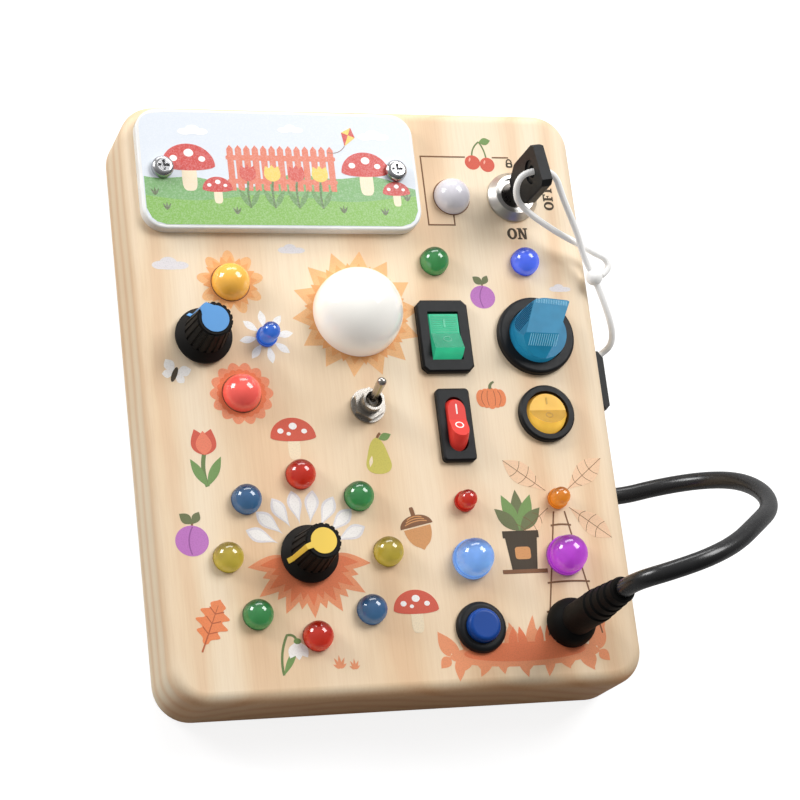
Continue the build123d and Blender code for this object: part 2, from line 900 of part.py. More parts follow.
def hex_nut(place, flats, bore, bottom, height):
    """Hexagon nut, flats across, threaded on a bushing of radius bore."""
    with BuildSketch(level(place, bottom)) as plan:
        RegularPolygon(flats / 2, 6, major_radius=False, rotation=30)
        Circle(bore + slip, mode=Mode.SUBTRACT)
    extrude(plan.sketch, amount=height)


nut_z = under_z - nut_thickness

with BuildPart() as panel_nuts:
    for place in (dimmer_at, selector_at):
        hex_nut(place, ring_nut_flats, bushing_radius, face_z, ring_nut_height)
    hex_nut(rotary_at, nut_flats_m16, rotary_body_radius, nut_z, nut_thickness)
    hex_nut(push_at, nut_flats_m12, push_body_radius, nut_z, nut_thickness)
    hex_nut(lock_at, nut_flats_m12, lock_body_radius, nut_z, nut_thickness)
    hex_nut(plug_at, nut_flats_m8, socket_radius, nut_z, nut_thickness)

# ---------------------------------------------------------------- toggle
toggle_pivot = (toggle_at[0], toggle_at[1], face_z + toggle_pivot_height)

with BuildPart() as toggle_body:
    block(toggle_at, toggle_box_width, toggle_box_depth, under_z - toggle_box_height, under_z)
    disc(toggle_at, toggle_bushing_radius, under_z, face_z + toggle_bushing_height)
    disc(
        toggle_at,
        toggle_bore_radius,
        toggle_pivot[2] - toggle_bore_radius - 0.2,
        face_z + toggle_bushing_height,
        mode=Mode.SUBTRACT,
    )

with BuildPart() as toggle_washer:
    with BuildSketch(level(toggle_at, face_z)):
        Circle(washer_radius)
        Circle(toggle_bushing_radius + slip, mode=Mode.SUBTRACT)
    extrude(amount=washer_thickness)

toggle_nut_z = face_z + washer_thickness

with BuildPart() as toggle_nut:
    hex_nut(toggle_at, toggle_nut_flats, toggle_bushing_radius, toggle_nut_z, toggle_nut_height)

lever_way = (0, sin(radians(toggle_tilt)), cos(radians(toggle_tilt)))
lever_plane = Plane(origin=toggle_pivot, x_dir=(1, 0, 0), z_dir=(0, -lever_way[2], lever_way[1]))

with BuildPart() as toggle_lever:
    with BuildSketch(lever_plane):
        with BuildLine():
            foot_height = sqrt(toggle_ball_radius**2 - toggle_rod_foot**2)
            tip_z = toggle_rod_length
            Line((0, -toggle_ball_radius), (0, tip_z + toggle_rod_tip))
            ThreePointArc((0, -toggle_ball_radius), (toggle_ball_radius, 0), (toggle_rod_foot, foot_height))
            Line((toggle_rod_foot, foot_height), (toggle_rod_tip, tip_z))
            CenterArc((0, tip_z), toggle_rod_tip, 0, 90)
        make_face()
    revolve(axis=Axis(toggle_pivot, lever_way))


# ---------------------------------------------------------------- rockers
def rocker_pivot(place):
    """Pivot point of a rocker that stands at place."""
    return (place[0], place[1], face_z + bezel_height - rocker_pivot_drop)


def rocker(place, half_length, half_width, end_height, plan):
    """V-topped rocker on two stubs, tipped with its lower end up.

    The plan outline is turned about the pivot line, so the gap to the opening stays the same
    through the whole throw.
    """
    pivot = rocker_pivot(place)
    end_y = sqrt(half_length**2 - end_height**2)
    dip = end_height - end_y * tan(radians(rocker_throw))
    tip = radians(-rocker_throw)
    with BuildPart() as body:
        with BuildSketch(Plane(origin=pivot)):
            if plan == "rectangle":
                Rectangle(2 * half_width, 2 * half_length)
            elif plan == "stadium":
                SlotOverall(2 * half_length, 2 * half_width, rotation=90)
            else:
                Circle(half_length)
            wide = 4 * half_length
            Rectangle(wide, wide, align=(Align.CENTER, Align.MAX), mode=Mode.SUBTRACT)
        revolve(axis=Axis(pivot, (1, 0, 0)))
        side_plane = Plane(origin=pivot, x_dir=(0, cos(tip), sin(tip)), z_dir=(1, 0, 0))
        with BuildSketch(side_plane):
            with BuildLine():
                reach = half_length + 1
                rise = dip + reach * tan(radians(rocker_throw))
                Polyline(
                    (-reach, -rocker_belly),
                    (reach, -rocker_belly),
                    (reach, rise),
                    (0, dip),
                    (-reach, rise),
                    close=True,
                )
            make_face()
        extrude(amount=2 * half_length, both=True, mode=Mode.INTERSECT)
        with BuildSketch(Plane(origin=pivot, z_dir=(1, 0, 0))):
            Circle(stub_radius)
        extrude(amount=half_width + stub_reach, both=True)
    return body


def rocker_well_cut(place, half_length, half_width, plan):
    """Opening and pivot holes of a rocker frame."""
    pivot = rocker_pivot(place)
    bottom = pivot[2] - rocker_well
    with BuildSketch(level(place, bottom)) as opening:
        if plan == "rectangle":
            Rectangle(2 * (half_width + rocker_gap), 2 * (half_length + rocker_gap))
        elif plan == "stadium":
            SlotOverall(2 * (half_length + rocker_gap), 2 * (half_width + rocker_gap), rotation=90)
        else:
            Circle(half_length + rocker_gap)
    extrude(opening.sketch, amount=face_z + bezel_height - bottom, mode=Mode.SUBTRACT)
    with BuildSketch(Plane(origin=pivot, z_dir=(1, 0, 0))) as hole:
        Circle(stub_radius + running)
    extrude(hole.sketch, amount=half_width + stub_reach + 0.1, both=True, mode=Mode.SUBTRACT)


green_half_width = green_rocker_width / 2
red_half_width = red_rocker_width / 2
housing_z = under_z - housing_depth

with BuildPart() as green_rocker_frame:
    with BuildSketch(level(green_rocker_at, face_z)) as bezel:
        Rectangle(green_bezel_width, green_bezel_length)
        chamfer(bezel.vertices(), length=bezel_chamfer)
    extrude(amount=bezel_height)
    chamfer(green_rocker_frame.faces().sort_by(Axis.Z)[-1].edges(), length=bezel_edge)
    block(green_rocker_at, green_housing[0], green_housing[1], housing_z, face_z)
    rocker_well_cut(green_rocker_at, green_rocker_half, green_half_width, "rectangle")

green_rocker = rocker(green_rocker_at, green_rocker_half, green_half_width, green_rocker_end, "rectangle")

with BuildPart() as red_rocker_frame:
    with BuildSketch(level(red_rocker_at, face_z)):
        RectangleRounded(red_bezel_width, red_bezel_length, 1.2)
    extrude(amount=bezel_height)
    chamfer(red_rocker_frame.faces().sort_by(Axis.Z)[-1].edges(), length=bezel_edge)
    block(red_rocker_at, red_housing[0], red_housing[1], housing_z, face_z)
    rocker_well_cut(red_rocker_at, red_rocker_half, red_half_width, "stadium")

red_rocker = rocker(red_rocker_at, red_rocker_half, red_half_width, red_rocker_end, "stadium")

with BuildPart() as round_rocker_frame:
    disc(round_rocker_at, round_bezel_radius, face_z, face_z + bezel_height)
    chamfer(round_rocker_frame.faces().sort_by(Axis.Z)[-1].edges(), length=bezel_edge)
    disc(round_rocker_at, round_housing, housing_z, face_z)
    rocker_well_cut(round_rocker_at, round_rocker_radius, round_rocker_radius, "round")

round_rocker = rocker(round_rocker_at, round_rocker_radius, round_rocker_radius, round_rocker_end, "round")

# ---------------------------------------------------------------- rotary switch
ring_floor_z = face_z + ring_floor
grip_z = ring_floor_z + 0.3
stem_bottom = face_z - rotary_body_depth + 2.0

with BuildPart() as rotary_ring:
    disc(rotary_at, ring_radius, face_z, face_z + ring_height)
    fillet(rotary_ring.faces().sort_by(Axis.Z)[-1].edges(), radius=0.9)
    disc(rotary_at, ring_opening, ring_floor_z, face_z + ring_height, mode=Mode.SUBTRACT)
    disc(rotary_at, rotary_body_radius, face_z - rotary_body_depth, face_z)
    disc(rotary_at, shaft_radius + running, stem_bottom - 0.3, ring_floor_z, mode=Mode.SUBTRACT)


def leaning_cut(angle, roof_inset):
    """Plane of a facet that falls from roof_inset at the roof to the base circle's rim."""
    out = Vector(cos(radians(angle)), sin(radians(angle)), 0)
    drop = grip_height - grip_base_height
    run = grip_radius - roof_inset
    normal = out * drop + Vector(0, 0, run)
    rim = Vector(rotary_at[0], rotary_at[1], face_z + grip_base_height) + out * grip_radius
    return Plane(origin=rim, z_dir=normal)


def upright_cut(angle, inset):
    """Vertical plane at inset from the grip's axis."""
    out = Vector(cos(radians(angle)), sin(radians(angle)), 0)
    return Plane(origin=Vector(rotary_at[0], rotary_at[1], face_z) + out * inset, z_dir=out)


nose_at = (
    grip_nose_reach * cos(radians(grip_nose_angle)),
    grip_nose_reach * sin(radians(grip_nose_angle)),
)

with BuildPart() as rotary_grip:
    with BuildSketch(level(rotary_at, face_z + grip_blade_lift)):
        Circle(grip_blade_radius)
        with Locations(nose_at):
            Circle(grip_nose_radius)
        make_hull()
    extrude(amount=grip_height - grip_blade_lift)
    split(bisect_by=leaning_cut(grip_left_angle, grip_left_inset), keep=Keep.BOTTOM)
    split(bisect_by=leaning_cut(grip_front_angle, grip_front_inset), keep=Keep.BOTTOM)
    split(bisect_by=upright_cut(grip_right_angle, grip_right_inset), keep=Keep.BOTTOM)
    disc(rotary_at, grip_radius, grip_z, face_z + grip_base_height)
    disc(rotary_at, shaft_radius, stem_bottom, grip_z)

# ---------------------------------------------------------------- push button
push_lip_z = face_z + push_bezel_height - push_lip
push_flange_top = push_lip_z - 0.3
push_flange_foot = push_flange_top - push_flange_height
push_floor_z = face_z - push_floor
push_top_z = face_z + push_bezel_height + push_travel + push_cap_show

with BuildPart() as push_bezel:
    disc(push_at, push_bezel_radius, face_z, face_z + push_bezel_height)
    fillet(push_bezel.faces().sort_by(Axis.Z)[-1].edges(), radius=1.4)
    disc(push_at, push_body_radius, face_z - push_body_depth, face_z)
    disc(push_at, push_flange_radius + 0.3, push_floor_z, push_lip_z, mode=Mode.SUBTRACT)
    disc(push_at, push_cap_radius + 0.15, push_lip_z, face_z + push_bezel_height, mode=Mode.SUBTRACT)

with BuildPart() as push_cap:
    disc(push_at, push_cap_radius, push_flange_foot, push_top_z)
    fillet(push_cap.faces().sort_by(Axis.Z)[-1].edges(), radius=1.2)
    disc(push_at, push_flange_radius, push_flange_foot, push_flange_top)

spring_height = push_flange_foot - push_floor_z - 2 * spring_wire - 0.1
spring_foot = push_floor_z + spring_wire + 0.05

with BuildPart() as push_spring:
    with BuildLine():
        spring_seat = (push_at[0], push_at[1], spring_foot)
        coil = Helix(spring_pitch, spring_height, spring_radius, center=spring_seat)
    with BuildSketch(Plane(origin=coil @ 0, z_dir=coil % 0)):
        Circle(spring_wire)
    sweep(path=coil, is_frenet=True)

# ---------------------------------------------------------------- key switch
lock_top = face_z + lock_height
core_top = lock_top - lock_recess_depth
core_bottom = face_z - lock_body_depth + 2.0
blade_bottom = core_bottom + 1.0
key_way = (-sin(radians(key_turn)), cos(radians(key_turn)), 0)
key_normal = (cos(radians(key_turn)), sin(radians(key_turn)), 0)
key_plane = Plane(origin=(lock_at[0], lock_at[1], face_z), x_dir=key_way, z_dir=key_normal)
key_foot_plane = Plane(origin=(lock_at[0], lock_at[1], 0), x_dir=key_way, z_dir=(0, 0, 1))

with BuildPart() as lock_barrel:
    turn(
        lock_at,
        (0, face_z - lock_body_depth),
        (lock_body_radius, face_z - lock_body_depth),
        (lock_body_radius, face_z),
        (lock_foot_radius, face_z),
        (lock_foot_radius, face_z + 0.8),
        (lock_rim_radius, lock_top),
        (lock_recess_radius, lock_top),
        (lock_recess_radius, core_top),
        (0, core_top),
    )
    disc(lock_at, lock_core_radius + running, core_bottom - 0.3, core_top, mode=Mode.SUBTRACT)

with BuildPart() as lock_core:
    disc(lock_at, lock_core_radius, core_bottom, core_top)
    with BuildSketch(key_foot_plane.offset(blade_bottom - 0.2)) as keyway:
        Rectangle(keyway_length, keyway_width)
    extrude(keyway.sketch, amount=lock_top - blade_bottom, mode=Mode.SUBTRACT)

with BuildPart() as key_blade:
    with BuildSketch(key_foot_plane.offset(blade_bottom)):
        Rectangle(blade_length, blade_width)
    extrude(amount=face_z + key_head_foot + blade_grip - blade_bottom)

with BuildPart() as key_head:
    with BuildSketch(key_plane):
        with BuildLine():
            Polyline(
                (key_neck_half, key_head_foot),
                (key_head_half, key_shoulder),
                (key_head_half, key_top_shoulder),
                (key_top_half, key_head_top),
                (-key_top_half, key_head_top),
                (-key_head_half, key_top_shoulder),
                (-key_head_half, key_shoulder),
                (-key_neck_half, key_head_foot),
                close=True,
            )
        make_face()
    extrude(amount=key_head_thickness / 2, both=True)
    fillet(key_head.edges().filter_by(Axis.Z), radius=0.5)
    with BuildSketch(key_plane) as hole:
        with Locations((0, key_hole_height)):
            Circle(key_hole_radius)
    extrude(hole.sketch, amount=key_head_thickness, both=True, mode=Mode.SUBTRACT)
    for side in (-1, 1):
        with BuildSketch(key_plane.offset(side * key_head_thickness / 2)) as dish:
            with Locations((0, key_hole_height)):
                Circle(key_dish_radius)
        extrude(dish.sketch, amount=-side * key_dish_depth, mode=Mode.SUBTRACT)
    with BuildSketch(key_foot_plane.offset(face_z + key_head_foot)) as slot:
        Rectangle(blade_length + 2 * slip, blade_width + 2 * slip)
    extrude(slot.sketch, amount=blade_grip + slip, mode=Mode.SUBTRACT)

# ---------------------------------------------------------------- plug and socket
socket_top = face_z + socket_flange_height
plug_foot = face_z + 0.3
barrel_bottom = socket_top - barrel_length
neck_top = face_z + plug_neck_height
boot_top = neck_top + boot_length

with BuildPart() as plug_socket:
    disc(plug_at, socket_radius, face_z - socket_depth, face_z)
    disc(plug_at, socket_flange_radius, face_z, socket_top)
    disc(plug_at, barrel_radius + running, barrel_bottom - 0.3, socket_top, mode=Mode.SUBTRACT)

with BuildPart() as plug_body:
    with BuildSketch(upright(plug_at)):
        with BuildLine():
            Polyline(
                (0, neck_top),
                (0, socket_top + 0.3),
                (socket_flange_radius + 0.3, socket_top + 0.3),
                (socket_flange_radius + 0.3, plug_foot),
                (plug_dome_radius, plug_foot),
                (plug_dome_radius, plug_foot + 1.0),
            )
            ThreePointArc(
                (plug_dome_radius, plug_foot + 1.0),
                (0.88 * plug_dome_radius, plug_foot + 0.66 * plug_dome_height),
                (plug_neck_radius, face_z + plug_dome_height),
            )
            Polyline(
                (plug_neck_radius, face_z + plug_dome_height),
                (plug_neck_radius, neck_top),
                (0, neck_top),
            )
        make_face()
    revolve(axis=Axis((plug_at[0], plug_at[1], 0), (0, 0, 1)))
    disc(plug_at, barrel_radius, barrel_bottom, socket_top + 0.3)
    fillet(plug_body.edges().filter_by(GeomType.CIRCLE).sort_by(Axis.Z)[0], radius=0.4)

boot_pitch = boot_length / boot_ribs

with BuildPart() as plug_boot:
    outline = [(0, neck_top)]
    for rib in range(boot_ribs):
        rib_z = neck_top + rib * boot_pitch
        rib_radius = boot_foot_radius + (boot_end_radius - boot_foot_radius) * rib / (boot_ribs - 1)
        outline.append((rib_radius, rib_z))
        outline.append((rib_radius, rib_z + 0.72 * boot_pitch))
        if rib < boot_ribs - 1:
            outline.append((rib_radius - boot_groove, rib_z + 0.8 * boot_pitch))
            outline.append((rib_radius - boot_groove, rib_z + 0.95 * boot_pitch))
    outline.append((boot_end_radius - 0.4, boot_top))
    outline.append((0, boot_top))
    turn(plug_at, *outline)


# ---------------------------------------------------------------- cord routes
def bend_radii(route):
    """Largest arc at each inner point: 0.45 of the shorter run over the tangent of half the turn."""
    points = [Vector(*point) for point in route]
    radii = []
    for before, corner, after in zip(points, points[1:], points[2:]):
        arriving = corner - before
        leaving = after - corner
        shorter = min(arriving.length, leaving.length)
        half_turn = radians(arriving.get_angle(leaving)) / 2
        radii.append(0.45 * shorter / tan(half_turn))
    return radii


def cord(route, radius):
    """Round tube along a route of straight runs joined by tangent arcs."""
    with BuildPart() as tube:
        with BuildLine() as path:
            spine = FilletPolyline(*route, radius=bend_radii(route))
        with BuildSketch(Plane(origin=spine @ 0, z_dir=spine % 0)):
            Circle(radius)
        sweep(path=spine)
    return tube, spine.length


cable_route = [
    (right_x - side_wall - 0.5, cable_at[1], cable_at[2]),
    (69.5, -29.0, 11.5),
    (81.0, -27.5, 16.5),
    (91.0, -28.5, 26.0),
    (95.5, -32.5, 38.0),
    (95.5, -39.5, 50.5),
    (91.0, -47.0, 61.0),
    (82.0, -53.0, 69.0),
    (72.5, -59.5, 74.5),
    (62.0, -64.0, 77.5),
    (52.0, -66.4, 75.0),
    (47.6, -66.9, 71.6),
    (plug_at[0], plug_at[1], 66.5),
    (plug_at[0], plug_at[1], boot_top),
]
cable, cable_length = cord(cable_route, cable_diameter / 2)

# ---------------------------------------------------------------- tether clip, tether and knot
clip_top_y = top_y - clip_top_row
clip_out = right_x + clip_proud
chamfer_middle = (clip_out - clip_chamfer_x / 2, clip_top_y - clip_chamfer_y / 2)
chamfer_size = hypot(clip_chamfer_x, clip_chamfer_y)
chamfer_way = (clip_chamfer_y / chamfer_size, clip_chamfer_x / chamfer_size)

with BuildPart() as tether_clamp:
    with BuildSketch(Plane.XY.offset(clip_bottom)):
        with BuildLine():
            Polyline(
                (right_x, clip_top_y),
                (clip_out - clip_chamfer_x, clip_top_y),
                (clip_out, clip_top_y - clip_chamfer_y),
                (clip_out, clip_top_y - clip_length + clip_tip),
                (clip_out - clip_tip, clip_top_y - clip_length),
                (right_x, clip_top_y - clip_arm - clip_pocket_length - 2.0),
                (right_x, clip_top_y - clip_arm - clip_pocket_length),
                (right_x + clip_pocket_depth, clip_top_y - clip_arm - 1.0),
                (right_x + clip_pocket_depth - 1.0, clip_top_y - clip_arm),
                (right_x, clip_top_y - clip_arm),
                close=True,
            )
        make_face()
    extrude(amount=clip_top - clip_bottom)

knot_at = (66.3, 32.1, 26.0)
tether_start = (chamfer_middle[0], chamfer_middle[1], 12.5)
tether_lead = (tether_start[0] + 2.4 * chamfer_way[0], tether_start[1] + 2.4 * chamfer_way[1], 12.5)
key_hole_z = face_z + key_hole_height
hole_in = (lock_at[0] + 3.4 * key_normal[0], lock_at[1] + 3.4 * key_normal[1], key_hole_z)
hole_out = (lock_at[0] - 3.4 * key_normal[0], lock_at[1] - 3.4 * key_normal[1], key_hole_z)

tether_route = [
    tether_start,
    tether_lead,
    (73.0, 14.9, 15.5),
    (73.1, 17.5, 18.3),
    (71.4, 21.2, 21.3),
    (68.9, 26.4, 24.0),
    knot_at,
    (62.9, 37.7, 28.3),
    (60.6, 42.6, 31.8),
    (57.7, 47.4, 34.8),
    (54.8, 52.3, 37.6),
    (52.8, 56.4, 40.2),
    hole_in,
    hole_out,
    (40.7, 54.4, 39.2),
    (41.8, 51.2, 35.6),
    (46.0, 49.0, 32.6),
    (51.3, 46.6, 30.2),
    (57.4, 43.4, 28.8),
    (62.6, 41.2, 27.9),
    (66.8, 38.9, 27.3),
    (70.6, 37.4, 26.8),
    (71.2, 34.2, 26.3),
    (68.6, 32.6, 26.1),
]
tether, tether_length = cord(tether_route, tether_diameter / 2)
tether_sleeve, sleeve_length = cord(tether_route, tether_diameter / 2 + 0.03)

with BuildPart() as tether_knot:
    with Locations(knot_at):
        Sphere(knot_radius)
    add(tether_sleeve.part, mode=Mode.SUBTRACT)

# ---------------------------------------------------------------- report on the cords
for title, route, tube, length, diameter in (
    ("cable", cable_route, cable, cable_length, cable_diameter),
    ("tether", tether_route, tether, tether_length, tether_diameter),
):
    ratio = tube.part.volume / (length * pi * diameter**2 / 4)
    print(title, "length", round(length, 1), "volume ratio", round(ratio, 4))
    print("  radii", [round(radius, 1) for radius in bend_radii(route)])

# ---------------------------------------------------------------- one file for each piece
pieces = {
    "board_body": board_body,
    "back_panel": back_panel,
    "back_screws": back_screws,
    "battery_box": battery_box,
    "battery_cells": battery_cells,
    "battery_contacts": battery_contacts,
    "battery_door": battery_door,
    "title_plate": title_plate,
    "plate_screws": plate_screws,
    "red_lamps": red_lamps,
    "green_lamps": green_lamps,
    "olive_lamps": olive_lamps,
    "steel_blue_lamps": steel_blue_lamps,
    "royal_blue_lamp": royal_blue_lamp,
    "small_red_lamp": small_red_lamp,
    "small_orange_lamp": small_orange_lamp,
    "daisy_lamp": daisy_lamp,
    "sky_lamp": sky_lamp,
    "purple_lamp": purple_lamp,
    "yellow_lamp": yellow_lamp,
    "coral_lamp": coral_lamp,
    "sun_lamp": sun_lamp,
    "key_lamp": key_lamp,
    "lamp_boards": lamp_boards,
    "dimmer_pot": dimmer_pot,
    "dimmer_shaft": dimmer_shaft,
    "dimmer_knob": dimmer_knob,
    "dimmer_cap": dimmer_cap,
    "selector_switch": selector_switch,
    "selector_shaft": selector_shaft,
    "selector_knob": selector_knob,
    "selector_pointer": selector_pointer,
    "panel_nuts": panel_nuts,
    "toggle_body": toggle_body,
    "toggle_nut": toggle_nut,
    "toggle_washer": toggle_washer,
    "toggle_lever": toggle_lever,
    "green_rocker_frame": green_rocker_frame,
    "green_rocker": green_rocker,
    "red_rocker_frame": red_rocker_frame,
    "red_rocker": red_rocker,
    "round_rocker_frame": round_rocker_frame,
    "round_rocker": round_rocker,
    "rotary_ring": rotary_ring,
    "rotary_grip": rotary_grip,
    "push_bezel": push_bezel,
    "push_cap": push_cap,
    "push_spring": push_spring,
    "lock_barrel": lock_barrel,
    "lock_core": lock_core,
    "key_blade": key_blade,
    "key_head": key_head,
    "plug_socket": plug_socket,
    "plug_body": plug_body,
    "plug_boot": plug_boot,
    "cable": cable,
    "tether": tether,
    "tether_knot": tether_knot,
    "tether_clamp": tether_clamp,
}

os.makedirs("parts", exist_ok=True)
for name, piece in pieces.items():
    piece.part.label = name
    export_step(piece.part, f"parts/{name}.step")
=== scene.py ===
import math

import bmesh
import bpy
import numpy as np
from mathutils import Matrix, Vector


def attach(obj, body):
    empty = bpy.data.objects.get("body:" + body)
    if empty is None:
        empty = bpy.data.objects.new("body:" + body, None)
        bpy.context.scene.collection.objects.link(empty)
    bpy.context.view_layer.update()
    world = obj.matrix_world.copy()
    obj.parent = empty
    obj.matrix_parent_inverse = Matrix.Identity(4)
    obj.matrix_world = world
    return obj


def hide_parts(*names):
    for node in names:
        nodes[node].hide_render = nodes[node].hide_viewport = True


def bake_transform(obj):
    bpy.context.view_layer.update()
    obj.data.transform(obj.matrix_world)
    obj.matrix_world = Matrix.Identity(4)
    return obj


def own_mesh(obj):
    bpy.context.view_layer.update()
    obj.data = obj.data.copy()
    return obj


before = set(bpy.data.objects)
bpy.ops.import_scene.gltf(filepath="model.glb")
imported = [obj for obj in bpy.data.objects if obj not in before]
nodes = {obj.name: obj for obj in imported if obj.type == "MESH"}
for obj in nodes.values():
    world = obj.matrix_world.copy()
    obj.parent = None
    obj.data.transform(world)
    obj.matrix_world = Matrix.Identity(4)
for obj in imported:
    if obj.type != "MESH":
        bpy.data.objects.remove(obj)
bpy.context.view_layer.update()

# Dresses the wooden busy board: pine grain, printed garden, lamps, knobs, switches, lead and tether.
# Everything is in metres in the board's own frame; drawings are laid out in millimetres.

MM = 0.001
FACE = 23.0
PLATE_TOP = 26.0

# places on the face, in millimetres
YELLOW_LAMP = (-39.6, 31.5)
CORAL_LAMP = (-39.6, -0.2)
DAISY_LAMP = (-31.1, 15.8)
SUN_LAMP = (-4.7, 22.4)
KEY_LAMP = (27.5, 57.4)
SELECTOR = (-25.9, -45.3)
PINWHEEL = (46.8, -32.0)
PUSH_BUTTON = (19.6, -67.0)
GREEN_ROCKER = (19.6, 15.2)
RED_ROCKER = (19.6, -10.5)
ROUND_ROCKER = (46.8, -7.6)
GRIP = (46.8, 15.2)
TITLE_PLATE = (-22.9, 63.6)


# ---- camera
def eye_on_the_board():
    """Camera above the lower left corner, looking a little up the board."""
    right = Vector((0.94545674, -0.11603753, 0.30437944))
    up = Vector((0.01444014, 0.94841356, 0.31670681))
    back = Vector((-0.32542747, -0.29503731, 0.89835959))
    lens = bpy.data.cameras.new("eye")
    lens.lens = 111.3
    lens.sensor_width = 36.0
    lens.clip_start = 0.01
    eye = bpy.data.objects.new("eye", lens)
    turn = Matrix((right, up, back)).transposed().to_4x4()
    eye.matrix_world = Matrix.Translation((-0.21453, -0.20154, 0.6284)) @ turn
    bpy.context.collection.objects.link(eye)
    bpy.context.scene.camera = eye


eye_on_the_board()


# ---- surfaces from whole arrays
def tube_faces(rows, around):
    """Quads between rings of points, row after row; the last point of a ring joins its first."""
    here = around * np.arange(rows - 1)[:, None] + np.arange(around)
    after = np.roll(here, -1, axis=1)
    return np.stack([here, after, around + after, around + here], axis=-1).reshape(-1, 4)


def piece_from(name, points, faces, smooth=True):
    """New piece from an (n, 3) array in metres and a list of faces."""
    mesh = bpy.data.meshes.new(name)
    mesh.from_pydata(points.tolist(), [], [list(map(int, f)) for f in faces])
    mesh.polygons.foreach_set("use_smooth", np.full(len(mesh.polygons), smooth))
    mesh.update()
    piece = bpy.data.objects.new(name, mesh)
    bpy.context.collection.objects.link(piece)
    return piece


def route_line(name, route):
    """Points read from the smooth spline whose control points are the route, millimetres in, metres out."""
    curve = bpy.data.curves.new(name, "CURVE")
    curve.dimensions = "3D"
    curve.resolution_u = 40
    spline = curve.splines.new("NURBS")
    spline.points.add(len(route) - 1)
    for control, place in zip(spline.points, route):
        control.co = (place[0] * MM, place[1] * MM, place[2] * MM, 1.0)
    spline.order_u = 3
    spline.use_endpoint_u = True
    holder = bpy.data.objects.new(name, curve)
    bpy.context.collection.objects.link(holder)
    mesh = bpy.data.meshes.new_from_object(holder)
    line = np.empty(len(mesh.vertices) * 3)
    mesh.vertices.foreach_get("co", line)
    bpy.data.objects.remove(holder)
    line = line.reshape(-1, 3)
    apart = np.linalg.norm(np.diff(line, axis=0), axis=1) > 1e-7
    return line[np.concatenate([[True], apart])]


def even_line(line, step):
    """The same line with points a step apart, and the length along it at each."""
    along = np.concatenate([[0.0], np.cumsum(np.linalg.norm(np.diff(line, axis=0), axis=1))])
    marks = np.linspace(0.0, along[-1], int(round(along[-1] / step)) + 1)
    return np.stack([np.interp(marks, along, line[:, i]) for i in range(3)], axis=1), marks


def swept(name, marked_line, radius, side, around):
    """Round profile carried along a line: centre + radius(s, angle) * (cos angle * n1 + sin angle * n2),
    n1 and n2 square to the line's direction; both ends are closed with a fan on the centre point."""
    line, marks = marked_line
    way = np.gradient(line, axis=0)
    way /= np.linalg.norm(way, axis=1, keepdims=True)
    n1 = np.cross(way, np.array(side))
    n1 /= np.linalg.norm(n1, axis=1, keepdims=True)
    n2 = np.cross(way, n1)
    angle = np.linspace(0.0, 2 * np.pi, around, endpoint=False)
    rows = len(line)
    reach = np.broadcast_to(radius(marks[:, None], angle[None, :]), (rows, around))
    ring = np.cos(angle)[None, :, None] * n1[:, None, :] + np.sin(angle)[None, :, None] * n2[:, None, :]
    points = line[:, None, :] + reach[:, :, None] * ring
    points = np.concatenate([points.reshape(-1, 3), line[:1], line[-1:]])
    here = np.arange(around)
    after = (here + 1) % around
    foot, head, end = np.full(around, rows * around), np.full(around, rows * around + 1), (rows - 1) * around
    first = np.stack([foot, after, here], axis=1)
    last = np.stack([head, end + here, end + after], axis=1)
    return piece_from(name, points, [*tube_faces(rows, around), *first, *last])


# ---- shader building
WHITE = (1.0, 1.0, 1.0, 1.0)


def tone(red, green, blue):
    """Colour given as 0 to 255 steps, as linear light with full cover."""
    steps = np.array([red, green, blue]) / 255.0
    linear = np.where(steps <= 0.04045, steps / 12.92, ((steps + 0.055) / 1.055) ** 2.4)
    return (float(linear[0]), float(linear[1]), float(linear[2]), 1.0)


def shaded(colour, times, plus=0.0):
    """The colour with each part scaled and raised, at full cover."""
    return tuple(min(1.0, part * times + plus) for part in colour[:3]) + (1.0,)


def start_finish(name):
    """New material with its shader; returns material, node tree and shader."""
    finish = bpy.data.materials.new(name)
    finish.use_nodes = True
    return finish, finish.node_tree, finish.node_tree.nodes["Principled BSDF"]


def feed(tree, node, inputs):
    """Gives each named input of a node a link or a plain value."""
    for key, value in inputs.items():
        if isinstance(value, bpy.types.NodeSocket):
            tree.links.new(value, node.inputs[key])
        else:
            node.inputs[key].default_value = value


def add(tree, kind, inputs=None, **settings):
    """Adds a shader node of a kind, with its settings, values and links."""
    made = tree.nodes.new("ShaderNode" + kind)
    for key, value in settings.items():
        setattr(made, key, value)
    feed(tree, made, inputs or {})
    return made


def ramp(tree, factor, *stops):
    """Colours along a factor, stops given as (position, colour)."""
    made = add(tree, "ValToRGB", {"Fac": factor})
    made.color_ramp.interpolation = "EASE"
    while len(made.color_ramp.elements) < len(stops):
        made.color_ramp.elements.new(0.5)
    for element, (position, colour) in zip(made.color_ramp.elements, stops):
        element.position = position
        element.color = colour
    return made.outputs["Color"]


def place_of(tree, scale=(1, 1, 1), shift=(0, 0, 0)):
    """Object coordinates, stretched and moved."""
    values = {"Vector": add(tree, "TexCoord").outputs["Object"], "Location": shift, "Scale": scale}
    return add(tree, "Mapping", values).outputs["Vector"]


def parts_of(tree, vector):
    """The X, Y and Z outputs of a vector."""
    return add(tree, "SeparateXYZ", {"Vector": vector}).outputs


def facing_of(tree):
    """The X, Y and Z parts of the way the surface faces, in the piece's own frame."""
    return parts_of(tree, add(tree, "TexCoord").outputs["Normal"])


def noise(tree, scale, detail=3.0, roughness=0.55, stretch=(1, 1, 1), shift=(0, 0, 0)):
    """Smooth noise value over object coordinates."""
    spot = place_of(tree, stretch, shift)
    values = {"Vector": spot, "Scale": scale, "Detail": detail, "Roughness": roughness}
    return add(tree, "TexNoise", values).outputs["Fac"]


